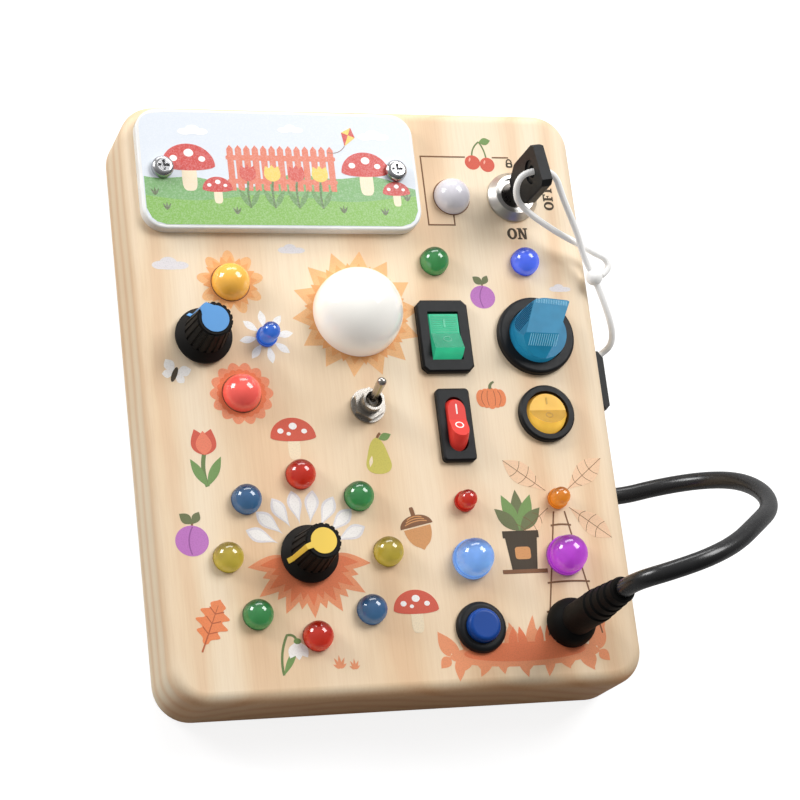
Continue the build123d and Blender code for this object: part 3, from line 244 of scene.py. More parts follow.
def spread(tree, value, to=(0.0, 1.0), of=(0.0, 1.0)):
    """A value moved from one range to another, and held inside it."""
    ends = {"Value": value, "From Min": of[0], "From Max": of[1], "To Min": to[0], "To Max": to[1]}
    return add(tree, "MapRange", ends).outputs[0]


def reckon(tree, operation, first, second):
    """Arithmetic on two values."""
    return add(tree, "Math", {0: first, 1: second}, operation=operation).outputs[0]


def mixed(tree, how, factor, first, second):
    """Two colours mixed."""
    sides = {0: factor, 6: first, 7: second}
    return add(tree, "Mix", sides, data_type="RGBA", blend_type=how).outputs[2]


def raise_with(tree, shader, height, strength, distance):
    """Bump from a height value."""
    bump = add(tree, "Bump", {"Height": height, "Strength": strength, "Distance": distance})
    feed(tree, shader, {"Normal": bump.outputs["Normal"]})


def pine_grain(tree):
    """Growth rings about a line that runs up the board below its face, waved by noise, with fine
    fibre streaks along the board. Returns the wood colour and the fibre value."""
    heart = place_of(tree, shift=(0.018, 0.0, 0.118))
    wave_spot = place_of(tree, scale=(1.0, 0.30, 1.0))
    waves = {"Vector": wave_spot, "Scale": 16.0, "Detail": 2.0, "Roughness": 0.5}
    even = {0: add(tree, "TexNoise", waves).outputs["Color"], 1: (0.5, 0.5, 0.5)}
    swing = add(tree, "VectorMath", even, operation="SUBTRACT").outputs[0]
    swung = add(tree, "VectorMath", {0: swing, "Scale": 0.018}, operation="SCALE").outputs[0]
    bent = add(tree, "VectorMath", {0: heart, 1: swung}, operation="ADD").outputs[0]
    rings = add(
        tree,
        "TexWave",
        {"Vector": bent, "Scale": 46.0, "Distortion": 0.6, "Detail": 1.0, "Detail Scale": 1.2},
        wave_type="RINGS",
        rings_direction="Y",
        wave_profile="SIN",
    )
    bands = ramp(
        tree,
        rings.outputs["Fac"],
        (0.0, tone(246, 229, 203)),
        (0.45, tone(244, 225, 197)),
        (0.80, tone(240, 217, 186)),
        (1.0, tone(236, 208, 175)),
    )
    drift = noise(tree, 22.0, 2.0, stretch=(1.0, 0.35, 1.0), shift=(0.4, 0.1, 0.0))
    warm = ramp(tree, drift, (0.35, tone(255, 253, 250)), (0.65, tone(251, 236, 219)))
    fibre = noise(tree, 1900.0, 3.0, 0.7, stretch=(1.0, 0.035, 1.0))
    streak = ramp(tree, fibre, (0.30, tone(238, 228, 216)), (0.62, WHITE))
    return mixed(tree, "MULTIPLY", 0.28, mixed(tree, "MULTIPLY", 0.7, bands, warm), streak), fibre


def pine():
    """Sanded and sealed pale pine; darker end grain, much darker at the foot end, where it is painted shade.
    """
    finish, tree, shader = start_finish("sealed_pine")
    wood, fibre = pine_grain(tree)
    towards_head = spread(tree, facing_of(tree)["Y"], of=(-1.0, 1.0))
    # darker end-grain tone: a little at the head end, and at the foot end a far larger share that is painted
    # shade
    foot, none, head = (0.7, 0.7, 0.7, 1), (0, 0, 0, 1), (0.2, 0.2, 0.2, 1)
    end_grain_and_foot_shade = ramp(tree, towards_head, (0.03, foot), (0.33, none), (0.67, none), (0.97, head))
    looks = {
        "Base Color": mixed(tree, "MULTIPLY", end_grain_and_foot_shade, wood, tone(238, 192, 148)),
        "Roughness": spread(tree, fibre, to=(0.42, 0.58)),
        "Specular IOR Level": 0.35,
    }
    feed(tree, shader, looks)
    raise_with(tree, shader, fibre, 0.12, 0.00008)
    return finish


def ink(name, colour):
    """Screen ink on the pine: the ink's colour with the grain showing through, and fine specks."""
    finish, tree, shader = start_finish("print_" + name)
    wood, fibre = pine_grain(tree)
    speck = noise(tree, 2600.0, 2.0)
    worn = ramp(tree, speck, (0.25, tone(236, 236, 236)), (0.6, WHITE))
    shown = mixed(tree, "MIX", 0.92, wood, mixed(tree, "MULTIPLY", 0.8, colour, worn))
    feed(tree, shader, {"Base Color": shown, "Roughness": 0.6, "Specular IOR Level": 0.15})
    raise_with(tree, shader, fibre, 0.08, 0.00006)
    return finish


def plate_ink(name, colour):
    """Ink on the white plate: small specks of uneven cover."""
    finish, tree, shader = start_finish("plate_" + name)
    speck = noise(tree, 2400.0, 3.0, 0.7)
    shown = ramp(tree, speck, (0.42, colour), (0.66, shaded(colour, 0.86, 0.14)))
    feed(tree, shader, {"Base Color": shown, "Roughness": 0.38})
    return finish


def moulded(name, colour, gloss, grain=900.0, depth=0.05, shade=0.12, lacquer=0.0, shine=0.5, painted_glow=0.0):
    """Moulded plastic: faint uneven colour, spark-eroded grain in the gloss and the relief."""
    finish, tree, shader = start_finish(name)
    soft = noise(tree, 60.0, 2.0)
    skin = ramp(tree, soft, (0.3, shaded(colour, 1.0 - shade)), (0.7, shaded(colour, 1.0 + shade)))
    fine = noise(tree, grain, 3.0)
    rough = spread(tree, fine, to=(max(0.03, gloss - 0.08), gloss + 0.08))
    feed(tree, shader, {"Base Color": skin, "Roughness": rough, "Specular IOR Level": shine})
    raise_with(tree, shader, fine, depth, 0.00005)
    if lacquer > 0:
        feed(tree, shader, {"Coat Weight": lacquer, "Coat Roughness": 0.06})
    # the glow is painted light, which brightens the part as if it gathered light
    if painted_glow > 0:
        feed(tree, shader, {"Emission Color": skin, "Emission Strength": painted_glow})
    return finish


def lens(name, colour, deep, clear=0.12, painted_glow=0.42, skin_gloss=0.05, ripple=0.0):
    """Tinted clear plastic: deeper colour low down is painted shade at the rim; lighter towards the foot and
    darker towards the head is painted light and shade, as if light gathered in it; the glow is painted light
    too. A polished skin loses its gloss towards the rim."""
    finish, tree, shader = start_finish(name)
    rise = spread(tree, parts_of(tree, place_of(tree))["Z"], of=(0.0225, 0.0295))
    # painted shade: deeper colour low down, at the rim where the cap meets the board
    body = ramp(tree, rise, (0.0, deep), (0.3, colour), (1.0, colour))
    # painted light and shade: lighter where the surface faces the foot, darker where it faces the head
    towards_foot = spread(tree, facing_of(tree)["Y"], of=(0.75, -0.75))
    painted_light_and_shade = ramp(tree, towards_foot, (0.0, tone(146, 138, 146)), (0.5, tone(224, 220, 224)), (1.0, WHITE))
    swirl = noise(tree, 240.0, 1.0)
    patch = ramp(tree, swirl, (0.3, tone(232, 232, 232)), (0.7, WHITE))
    shown = mixed(tree, "MULTIPLY", 0.6, mixed(tree, "MULTIPLY", 1.0, body, painted_light_and_shade), patch)
    polished = skin_gloss < 0.1
    looks = {
        "Base Color": shown,
        "Emission Color": shown,
        "Emission Strength": painted_glow,
        "Transmission Weight": clear,
        "IOR": 1.49,
        "Roughness": skin_gloss,
        "Coat Roughness": skin_gloss,
        "Specular IOR Level": 0.5 if polished else 0.18,
        "Subsurface Weight": 0.15,
        "Subsurface Radius": (0.002, 0.002, 0.002),
    }
    feed(tree, shader, looks)
    if polished:
        slant = add(tree, "LayerWeight", {"Blend": 0.5}).outputs["Facing"]
        for socket, middle in (("Coat Weight", 0.62), ("Specular IOR Level", 0.55)):
            feed(tree, shader, {socket: spread(tree, slant, to=(middle, 0.04), of=(0.3, 0.8))})
    if ripple > 0:
        raise_with(tree, shader, noise(tree, 520.0, 1.0), ripple, 0.0002)
    return finish


def metal(name, colour, gloss):
    """Plated metal with a fine uneven polish."""
    finish, tree, shader = start_finish(name)
    fine = noise(tree, 700.0, 3.0)
    stain = noise(tree, 180.0, 2.0)
    looks = {
        "Base Color": ramp(tree, stain, (0.35, shaded(colour, 0.86)), (0.6, colour)),
        "Roughness": spread(tree, fine, to=(max(0.03, gloss - 0.07), gloss + 0.10)),
        "Metallic": 1.0,
    }
    feed(tree, shader, looks)
    return finish


def birch():
    """Rotary-cut birch ply with soft flame figure."""
    finish, tree, shader = start_finish("birch_ply")
    bend = noise(tree, 40.0, stretch=(1.0, 0.2, 1.0))
    wave = {"Vector": place_of(tree, scale=(1.0, 0.12, 1.0)), "Scale": 30.0, "Distortion": 9.0}
    flame = add(tree, "TexWave", {**wave, "Detail": 2.0, "Detail Scale": 1.0})
    both = mixed(tree, "MIX", 0.4, flame.outputs["Color"], bend)
    sheet = ramp(tree, both, (0.2, tone(226, 196, 152)), (0.8, tone(240, 216, 178)))
    feed(tree, shader, {"Base Color": sheet, "Roughness": 0.62})
    fibre = noise(tree, 1700.0, 3.0, 0.7, stretch=(1.0, 0.04, 1.0))
    raise_with(tree, shader, fibre, 0.15, 0.00008)
    return finish


def lead_rubber():
    """Black rubber sheath: glossy skin with finger-dulled patches."""
    finish, tree, shader = start_finish("lead_rubber")
    dulled = noise(tree, 45.0, 3.0)
    fine = noise(tree, 1500.0, 3.0)
    looks = {
        "Base Color": ramp(tree, dulled, (0.3, tone(22, 22, 23)), (0.7, tone(34, 34, 35))),
        "Roughness": spread(tree, fine, to=(0.20, 0.32)),
        "Specular IOR Level": 0.62,
    }
    feed(tree, shader, looks)
    raise_with(tree, shader, fine, 0.05, 0.00004)
    return finish


def tether_cotton():
    """White braided yarn: fine fuzz in the relief, cloth sheen, and a faint painted glow that brightens it.
    """
    finish, tree, shader = start_finish("tether_cotton")
    fuzz = noise(tree, 3200.0, 4.0, 0.7)
    looks = {
        "Base Color": ramp(tree, fuzz, (0.3, tone(232, 230, 226)), (0.6, tone(250, 249, 247))),
        # painted light: a faint glow that brightens the yarn
        "Emission Color": (1.0, 0.99, 0.97, 1.0),
        "Emission Strength": 0.14,
        "Roughness": 0.85,
        "Sheen Weight": 0.3,
    }
    feed(tree, shader, looks)
    raise_with(tree, shader, fuzz, 0.35, 0.00006)
    return finish


def dress(finish, *names):
    """Gives the slots of CAD nodes a finish."""
    for name in names:
        node = nodes[name]
        if not node.material_slots:
            node.data.materials.append(finish)
        for place in node.material_slots:
            place.material = finish


def finish_of(piece, finish):
    """Gives a new piece its finish."""
    piece.data.materials.clear()
    piece.data.materials.append(finish)


# ---- lead and tether
lead_route = (
    (57.5, -29.0, 11.5),
    (69.5, -29.0, 11.5),
    (81.0, -27.5, 16.5),
    (91.0, -28.5, 26.0),
    (95.5, -32.5, 38.0),
    (95.5, -39.5, 50.5),
    (91.0, -47.0, 61.0),
    (82.0, -53.0, 69.0),
    (72.5, -59.5, 74.5),
    (62.0, -64.0, 77.5),
    (52.0, -66.4, 75.0),
    (47.6, -66.9, 71.6),
    (45.4, -67.0, 66.5),
    (45.4, -67.0, 61.0),
)
lead_line = route_line("lead_line", lead_route)
lead = swept("lead", even_line(lead_line, 0.0012), lambda s, a: 0.0024, (0, 1, 0), 32)
finish_of(lead, lead_rubber())
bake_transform(lead)
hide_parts("cable")

tether_route = (
    (69.5, 12.5, 12.5),
    (71.47, 13.88, 12.5),
    (73.0, 14.9, 15.5),
    (73.1, 17.5, 18.3),
    (71.4, 21.2, 21.3),
    (68.9, 26.4, 24.0),
    (66.3, 32.1, 26.0),
    (62.9, 37.7, 28.3),
    (60.6, 42.6, 31.8),
    (57.7, 47.4, 34.8),
    (54.8, 52.3, 37.6),
    (52.8, 56.4, 40.2),
    (49.17, 57.87, 42.0),
    (42.43, 56.93, 42.0),
    (40.7, 54.4, 39.2),
    (41.8, 51.2, 35.6),
    (46.0, 49.0, 32.6),
    (51.3, 46.6, 30.2),
    (57.4, 43.4, 28.8),
    (62.6, 41.2, 27.9),
    (66.8, 38.9, 27.3),
    (70.6, 37.4, 26.8),
    (71.2, 34.2, 26.3),
    (68.6, 32.6, 26.1),
)
tether_line = route_line("tether_line", tether_route)
TETHER_RADIUS, BRAID_DEPTH, BRAID_PITCH = 0.00090, 0.000045, 0.0052


def braid(s, a):
    """Radius of a round braid: two sets of four strands wound left and right, cos times cos."""
    turn = 2 * np.pi * s / BRAID_PITCH
    return TETHER_RADIUS + BRAID_DEPTH * np.cos(4 * (a + turn)) * np.cos(4 * (a - turn))


tether = swept("tether_braid", even_line(tether_line, 0.00022), braid, (0.45, 0.1, -0.85), 32)
cotton = tether_cotton()
finish_of(tether, cotton)
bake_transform(tether)
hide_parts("tether")
dress(cotton, "tether_knot")

# ---- return spring
def coil_line(x, y, foot, height, radius, pitch):
    """Helix: centre + radius * (cos a, sin a), rising one pitch each turn."""
    a = np.linspace(0.0, 2 * np.pi * height / pitch, 240)
    rise = foot + pitch * a / (2 * np.pi)
    return np.column_stack([x + radius * np.cos(a), y + radius * np.sin(a), rise]) * MM


spring_line = even_line(coil_line(*PUSH_BUTTON, 15.33, 5.04, 2.4, 1.1), 0.0003)
return_spring = swept("return_spring", spring_line, lambda s, a: 0.00028, (0, 0, 1), 12)
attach(return_spring, "board")
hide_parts("push_spring")

# ---- finishes of the CAD pieces
black = moulded("matt_black_plastic", tone(26, 27, 29), 0.46, shade=0.1, shine=0.22)
satin_black = moulded("knob_black", tone(33, 32, 31), 0.58, grain=700.0, shade=0.1, shine=0.08)
plug_black = moulded("plug_black", tone(17, 17, 16), 0.6, depth=0.03, shade=0.08, shine=0.08)
steel = metal("screw_steel", tone(196, 196, 198), 0.22)
nickel = metal("switch_nickel", tone(190, 184, 176), 0.24)
finish_of(return_spring, steel)
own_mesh(return_spring)

dress(pine(), "board_body")
dress(birch(), "back_panel")
dress(steel, "back_screws", "plate_screws", "battery_contacts", "key_blade")
for node in ("battery_box", "battery_door"):
    dress(moulded(node + "_plastic", tone(232, 230, 226), 0.45), node)
dress(moulded("cell_jacket", tone(54, 92, 70), 0.28, lacquer=0.5), "battery_cells")
dress(moulded("white_plate", tone(240, 239, 236), 0.30, grain=1200.0, shade=0.03), "title_plate")
dress(moulded("circuit_board", tone(42, 110, 66), 0.35, lacquer=0.4), "lamp_boards")

# lamp lenses: the default glow is painted light, and the deeper colour is painted shade at the rim
for node, colour, deep in (
    ("red_lamps", (206, 48, 28), (120, 14, 8)),
    ("green_lamps", (62, 142, 78), (20, 74, 36)),
    ("olive_lamps", (192, 172, 64), (140, 120, 28)),
    ("steel_blue_lamps", (64, 106, 146), (32, 64, 104)),
    ("royal_blue_lamp", (86, 120, 255), (34, 56, 200)),
    ("small_red_lamp", (204, 46, 30), (140, 18, 10)),
    ("small_orange_lamp", (236, 144, 42), (190, 96, 16)),
    ("daisy_lamp", (56, 116, 220), (26, 66, 170)),
    ("sky_lamp", (136, 188, 255), (100, 158, 246)),
    ("purple_lamp", (200, 76, 222), (112, 24, 146)),
):
    dress(lens(node + "_lens", tone(*colour), tone(*deep)), node)
# painted light: the glow lifts these caps' shaded sides
for node, name, colour, gloss, shade, painted_glow in (
    ("yellow_lamp", "yellow_cap", (248, 184, 74), 0.16, 0.04, 0.2),
    ("coral_lamp", "coral_cap", (248, 96, 86), 0.14, 0.04, 0.2),
    ("sun_lamp", "white_dome", (243, 240, 233), 0.16, 0.02, 0.26),
    ("key_lamp", "lilac_cap", (210, 207, 214), 0.16, 0.03, 0.16),
):
    dress(moulded(name, tone(*colour), gloss, depth=0.0, shade=shade, lacquer=0.8, painted_glow=painted_glow), node)

dress(nickel, "dimmer_pot", "selector_switch", "toggle_body", "dimmer_shaft", "selector_shaft", "panel_nuts")
dress(nickel, "toggle_nut", "toggle_washer", "toggle_lever")
dress(satin_black, "dimmer_knob", "selector_knob")
dress(moulded("blue_cap", tone(82, 152, 216), 0.34, shade=0.05), "dimmer_cap")
dress(moulded("yellow_pointer", tone(244, 206, 78), 0.34, shade=0.05), "selector_pointer")
dress(black, "green_rocker_frame", "red_rocker_frame", "round_rocker_frame", "rotary_ring", "push_bezel")
dress(black, "plug_socket", "key_head", "tether_clamp")
dress(plug_black, "plug_body", "plug_boot")
dress(metal("lock_chrome", tone(214, 211, 206), 0.36), "lock_barrel")
dress(metal("lock_core_steel", tone(88, 84, 80), 0.28), "lock_core")

# clear rockers and grip: the glow is painted light, and the deeper low colour is painted shade
for node, name, colour, deep, clear, painted_glow, gloss, ripple in (
    ("green_rocker", "green_rocker_clear", (60, 196, 146), (44, 184, 132), 0.12, 0.6, 0.22, 0.2),
    ("round_rocker", "amber_rocker_clear", (252, 206, 88), (214, 146, 22), 0.2, 0.5, 0.26, 0.15),
    ("rotary_grip", "blue_grip_clear", (38, 136, 174), (26, 116, 168), 0.1, 0.42, 0.34, 0.1),
):
    dress(lens(name, tone(*colour), tone(*deep), clear, painted_glow, gloss, ripple), node)
# painted light: the red rocker's glow
red_gloss = moulded(
    "red_rocker_gloss", tone(204, 56, 48), 0.36, depth=0.02, shade=0.05, shine=0.24, painted_glow=0.36
)
dress(red_gloss, "red_rocker")
dress(moulded("navy_cap", tone(22, 70, 150), 0.34, depth=0.02, shade=0.05, shine=0.2), "push_cap")

# ---- flat printed shapes
drawn = []


def lay(colour, outline, layer=0, carrier="board"):
    """Keeps a closed outline, in millimetres, to be printed in a colour; higher layers cover lower."""
    drawn.append(((colour, carrier), np.asarray(outline, float), layer))


def round_way(turn):
    """Cosine and sine of an angle in degrees."""
    return math.cos(math.radians(turn)), math.sin(math.radians(turn))


def moved(outline, x, y, size=1.0, turn=0.0):
    """Outline scaled, turned and moved."""
    c, s = round_way(turn)
    return np.asarray(outline) * size @ np.array([[c, s], [-s, c]]) + np.array([x, y])


def placed(shapes, x, y, size=1.0, turn=0.0):
    """Shapes, each a (colour, layer, outline), scaled, turned and moved together."""
    for colour, layer, outline in shapes:
        yield colour, layer, moved(outline, x, y, size, turn)


def draw(shapes, x, y, size=1.0, turn=0.0, carrier="board"):
    """Lays all shapes of a drawing."""
    for colour, layer, outline in placed(shapes, x, y, size, turn):
        lay(colour, outline, layer, carrier)


def oval(x, y, half_x, half_y, corners=44, start=0.0, end=360.0):
    """Ellipse or part of one: centre + half axes times cos and sin."""
    a = np.radians(np.linspace(start, end, corners, endpoint=end - start < 360.0))
    return np.column_stack([x + half_x * np.cos(a), y + half_y * np.sin(a)])


def half_rings(x, y, outer, inner, corners):
    """A ring between two ellipses, given by their half axes, as two half bands."""
    for start in (0, 180):
        arc = {"corners": corners, "start": start, "end": start + 180}
        yield np.concatenate([oval(x, y, *outer, **arc), oval(x, y, *inner, **arc)[::-1]])


def petal(x, y, length, half_width, turn, point=1.0):
    """Petal from its foot: width follows sin(pi s^point), drawn towards the tip by the power."""
    s = np.linspace(0.0, 1.0, 17)
    w = half_width * np.sin(np.pi * s**point)
    run = np.concatenate([s * length, s[-2:0:-1] * length])
    return moved(np.column_stack([run, np.concatenate([w, -w[-2:0:-1]])]), x, y, 1.0, turn)


def ray(centre, reach, length, half_width, turn, point=1.0):
    """Petal that points away from a centre and starts a reach off it."""
    c, s = round_way(turn)
    return petal(centre[0] + reach * c, centre[1] + reach * s, length, half_width, turn, point)


def burst(x, y, outer, inner, points, turn=0.0):
    """Star: the radius steps between outer and inner."""
    a = np.radians(turn + np.arange(2 * points) * 180.0 / points)
    r = np.where(np.arange(2 * points) % 2 == 0, outer, inner)
    return np.column_stack([x + r * np.cos(a), y + r * np.sin(a)])


def scallop(x, y, outer, dip, lobes, turn=0.0):
    """Scalloped disc: radius = outer - dip * (1 - |cos(lobes * angle / 2)|)."""
    a = np.linspace(0.0, 2 * np.pi, lobes * 12, endpoint=False)
    r = outer - dip * (1 - np.abs(np.cos(lobes * a / 2)))
    a = a + math.radians(turn)
    return np.column_stack([x + r * np.cos(a), y + r * np.sin(a)])


def band(points, width, taper=1.0):
    """Stroke of a width along points; taper is the end's share of the width."""
    p = np.asarray(points, float)
    way = np.gradient(p, axis=0)
    way /= np.linalg.norm(way, axis=1, keepdims=True)
    side = np.stack([-way[:, 1], way[:, 0]], axis=1)
    half = 0.5 * width * np.linspace(1.0, taper, len(p))[:, None]
    return np.concatenate([p + side * half, (p - side * half)[::-1]])


def bow(x0, y0, x1, y1, sag, steps=14):
    """Points from one place to another along a parabola that stands sag off the straight line."""
    s = np.linspace(0.0, 1.0, steps)
    dx, dy = x1 - x0, y1 - y0
    off = 4 * sag * s * (1 - s) / math.hypot(dx, dy)
    return np.column_stack([x0 + dx * s - dy * off, y0 + dy * s + dx * off])


def box(x, y, width, height, corner=0.4):
    """Rounded box: half sides times cos and sin raised to the power corner, each with its sign."""
    a = np.linspace(0.0, 2 * np.pi, 40, endpoint=False)
    u = 0.5 * width * np.sign(np.cos(a)) * np.abs(np.cos(a)) ** corner
    v = 0.5 * height * np.sign(np.sin(a)) * np.abs(np.sin(a)) ** corner
    return np.column_stack([x + u, y + v])


def cloud():
    """Cloud: a long foot under three round heads."""
    for puff in ((-3, 0, 3, 1.5), (3.2, -0.1, 3.2, 1.4), (-0.4, 0.9, 2.9, 2), (0, -0.5, 5.2, 1.1)):
        yield "cloud", 0, oval(*puff)


def tulip():
    """Tulip: three petals on a bowed stem with two long leaves."""
    yield "stem", 0, band(bow(0, -6.5, 0, 0, 0.5), 0.8)
    yield "leaf", 0, petal(0, -6.5, 6.0, 0.9, 118)
    yield "leaf", 0, petal(0, -6.5, 6.4, 0.9, 62)
    yield "tomato", 1, petal(0, -0.5, 5.2, 1.7, 108, 0.8)
    yield "tomato", 1, petal(0, -0.5, 5.2, 1.7, 72, 0.8)
    yield "coral", 2, petal(0, -0.5, 4.6, 1.5, 90, 0.8)


def pear():
    """Pear: round belly and narrow neck, with a leaf and a pale streak."""
    a = np.linspace(0.0, 2 * np.pi, 60, endpoint=False)
    r = 3.6 + 0.9 * np.sin(a) ** 3 - 0.5 * np.cos(2 * a)
    yield "pear", 1, np.column_stack([r * np.cos(a) * (1 - 0.32 * np.sin(a)), r * np.sin(a) * 1.15])
    yield "bark", 0, band(bow(0, 4.6, 1.2, 7.0, 0.2778), 0.7)
    yield "leaf", 1, petal(0.6, 5.4, 3.6, 1.0, 20)
    yield "cream", 2, petal(-2.4, -1.8, 3.0, 0.45, 75)


def acorn():
    """Acorn: pointed nut under a cap with three pale bands."""
    a = np.linspace(np.pi, 2 * np.pi, 31)
    tip = 0.5 * np.exp(-((a - 1.5 * np.pi) ** 2) * 40)
    yield "tan", 1, np.column_stack([2.9 * np.cos(a), 4.2 * np.sin(a) - tip])
    yield "bark", 2, oval(0, 0.3, 3.5, 2.3, corners=30, start=0, end=180)
    yield "bark", 1, box(0, 3.2, 0.9, 2.2)
    for i in range(3):
        half, y = 2.4 - 0.4 * i, 0.9 + 0.5 * i
        yield "tan", 3, band(bow(-half, y, half, y, 0.4), 0.22)


def mushroom(layer, red, foot, cap, brim, spots):
    """Domed red cap with pale spots on a cream foot; foot is (width, height), cap (half width, height)."""
    yield "cream", layer, box(0, -2.2, *foot, corner=0.6)
    yield red, layer + 1, oval(0, 0, *cap, corners=40, start=0, end=180)
    yield red, layer + 1, oval(0, 0.1, cap[0], brim)
    for x, y, r in spots:
        yield "white", layer + 2, oval(x, y, r, 0.85 * r)


def toadstool():
    """Toadstool on the wood."""
    spots = (-2.6, 1.4, 0.65), (0.1, 2.4, 0.85), (2.4, 1.3, 0.6), (-0.9, 0.8, 0.45)
    return mushroom(1, "tomato", (2.6, 5.0), (4.8, 4.2), 0.9, spots)


def snowdrop():
    """Snowdrop: three hanging white petals on a hooked stem."""
    hook = [bow(-3, -6, -1.6, 3, 0.7143), bow(-1.4, 3.4, 0.9, 1.8, 0.7143, 8)]
    yield "stem", 0, band(np.concatenate(hook), 0.6)
    yield "leaf", 0, petal(-3, -6, 8, 0.8, 60)
    for turn in (-118, -90, -62):
        yield "white", 1, petal(1.0, 2.0, 4.6, 1.15, turn, 1.2)
    yield "leaf", 2, oval(1.0, 1.9, 0.9, 0.7)


def cherries():
    """Two cherries on joined stalks with one leaf."""
    yield "stem", 0, band(bow(-2.2, 0, 0.6, 6.2, 0.9783), 0.5)
    yield "stem", 0, band(bow(2.4, -0.6, 0.6, 6.2, -0.5435), 0.5)
    yield "leaf", 1, petal(0.6, 6.0, 4.0, 1.2, 10)
    yield "tomato", 1, oval(-2.3, -0.8, 2.5, 2.4)
    yield "tomato", 2, oval(2.5, -1.5, 2.4, 2.4)
    yield "blush", 3, petal(-3.4, -0.6, 1.6, 0.28, 70)
    yield "blush", 3, petal(1.4, -1.4, 1.6, 0.28, 70)


def plum(crease, stalk):
    """Plum: round fruit with a bowed crease and stalk, and two leaves."""
    yield "plum", 1, oval(0, 0, 3.9, 3.6)
    yield "grape", 2, band(bow(-0.2, -3.2, 0.4, 3.3, crease), 0.3)
    yield "bark", 0, band(bow(0.3, 3.2, 0.9, 5.4, stalk), 0.5)
    yield "moss", 1, petal(0.5, 4.0, 3.8, 1.2, 140)
    yield "moss", 1, petal(0.6, 4.0, 3.2, 1.0, 60)


def pumpkin():
    """Pumpkin: five lobes side by side and a hooked stalk."""
    for x, half_x in ((-2.9, 1.7), (2.9, 1.7), (-1.6, 1.9), (1.6, 1.9), (0.0, 1.9)):
        yield "carrot", 1 if abs(x) > 2 else 2, oval(x, 0, half_x, 3.3 - 0.22 * abs(x))
    for x in (-2.2, -0.9, 0.9, 2.2):
        yield "rust", 3, band(bow(x, -2.3, x, 2.3, -0.3684 * x), 0.22)
    yield "moss", 3, band(bow(0, 2.8, 1.4, 5.0, 0.5263), 1.0, 0.6)


def oak_leaf():
    """Lobed leaf: half width = 2.6 sin(pi s)^0.8 * (1 + 0.3 cos(9 pi s)), with veins."""
    s = np.linspace(0.0, 1.0, 70)
    w = 2.6 * np.sin(np.pi * s) ** 0.8 * (1 + 0.30 * np.cos(9 * np.pi * s))
    run = 9.5 * np.concatenate([s, s[-2:0:-1]])
    yield "carrot", 1, np.column_stack([np.concatenate([w, -w[-2:0:-1]]), run])
    yield "rust", 2, band(bow(0, -1.6, 0, 8.2, 0.0), 0.35, 0.3)
    for y in (2.2, 4.4, 6.4):
        for side in (1.5, -1.5):
            yield "rust", 2, band(bow(0, y, side, y + 1.0, 0.0, 3), 0.2)


def pot_plant():
    """Leafy plant in a dark pot with a label patch."""
    for turn, length in ((90, 9.5), (68, 9), (112, 9), (45, 7.5), (135, 7.5)):
        yield "moss" if turn % 4 else "leaf", 1, petal(0, 3.6, length, 1.5, turn)
    side = np.array([[4.2, 3.8], [4.2, 2.2], [3.7, 2.2], [2.9, -5.0]])
    yield "soot", 2, np.concatenate([[[-4.2, 3.8]], side, side[:0:-1] * (-1, 1)])
    yield "tan", 3, box(0, -1.2, 3.6, 2.8)
    yield "bark", 2, band(bow(-5.2, -5.3, 5.2, -5.3, 0.0, 4), 0.9)


def moth():
    """Small moth: four pale wings on a dark body."""
    for side in (-1, 1):
        for lift, length, half in ((38, 3.6, 1.15), (-24, 2.7, 0.9)):
            yield "white", 0, petal(0.0, 0.0, length, half, 90 - side * (90 - lift), 1.4)
    yield "soot", 1, oval(0.0, -0.2, 0.55, 1.7)


def tuft():
    """Grass tuft: blades that fan out from one foot."""
    for turn, length in ((150, 2.2), (118, 3.2), (92, 3.6), (64, 3.2), (34, 2.2)):
        yield "tomato_pale", 0, petal(0, 0, length, 0.42, turn, 0.7)


# lamp surrounds
lay("orange_pale", scallop(*YELLOW_LAMP, 9.4, 4.2, 9, 10))
lay("orange_mid", burst(*YELLOW_LAMP, 7.8, 5.9, 18, 5), 1)
for turn in range(8, 368, 45):
    lay("white", ray(DAISY_LAMP, 2.3, 5.4, 1.05, turn, 1.3))
lay("salmon", scallop(*CORAL_LAMP, 8.8, 1.3, 14))
lay("salmon_deep", scallop(*CORAL_LAMP, 6.9, 0.5, 20), 1)
lay("orange_pale", burst(*SUN_LAMP, 18.6, 13.6, 14, 4))
lay("orange_mid", burst(*SUN_LAMP, 14.9, 12.6, 28, 4), 1)

# painted shadow: dark rings in the gap between the three coloured caps and their holes
for place in (YELLOW_LAMP, CORAL_LAMP, KEY_LAMP):
    # the ring is printed in the dark bark ink and stands for shadow only
    for half_ring in half_rings(*place, (5.5, 5.5), (5.26, 5.26), 30):
        lay("bark", half_ring, 2)

# sky, fruit beside the switches, garden pictures round the selector
for motif, x, y, size, turn in (
    (cloud(), -56.0, 36.5, 0.82, 0),
    (cloud(), -21.5, 41.0, 0.62, 0),
    (cloud(), 56.5, 29.6, 0.52, 0),
    (cherries(), 37.4, 68.9, 0.92, 0),
    (plum(crease=0.9474, stalk=0.2105), 32.9, 27.2, 0.95, 0),
    (pumpkin(), 31.4, -2.6, 0.95, 0),
    (tulip(), -51.4, -16.4, 1.45, 0),
    (toadstool(), -26.6, -12.8, 1.32, 0),
    (pear(), -3.4, -19.6, 1.08, 0),
    (acorn(), 5.2, -38.8, 1.35, 12),
    (plum(crease=0.7826, stalk=0.1739), -57.0, -40.4, 1.15, 0),
    (oak_leaf(), -56.2, -68.0, 1.35, -24),
    (snowdrop(), -32.6, -70.4, 1.12, 0),
    (toadstool(), 2.2, -61.4, 1.32, 0),
    (pot_plant(), 34.6, -45.4, 1.25, 0),
    (moth(), -57.4, 5.6, 1.3, -24),
    (tuft(), -20.6, -76.0, 1.0, 0),
    (tuft(), -16.6, -76.4, 0.8, 0),
):
    draw(motif, x, y, size, turn)

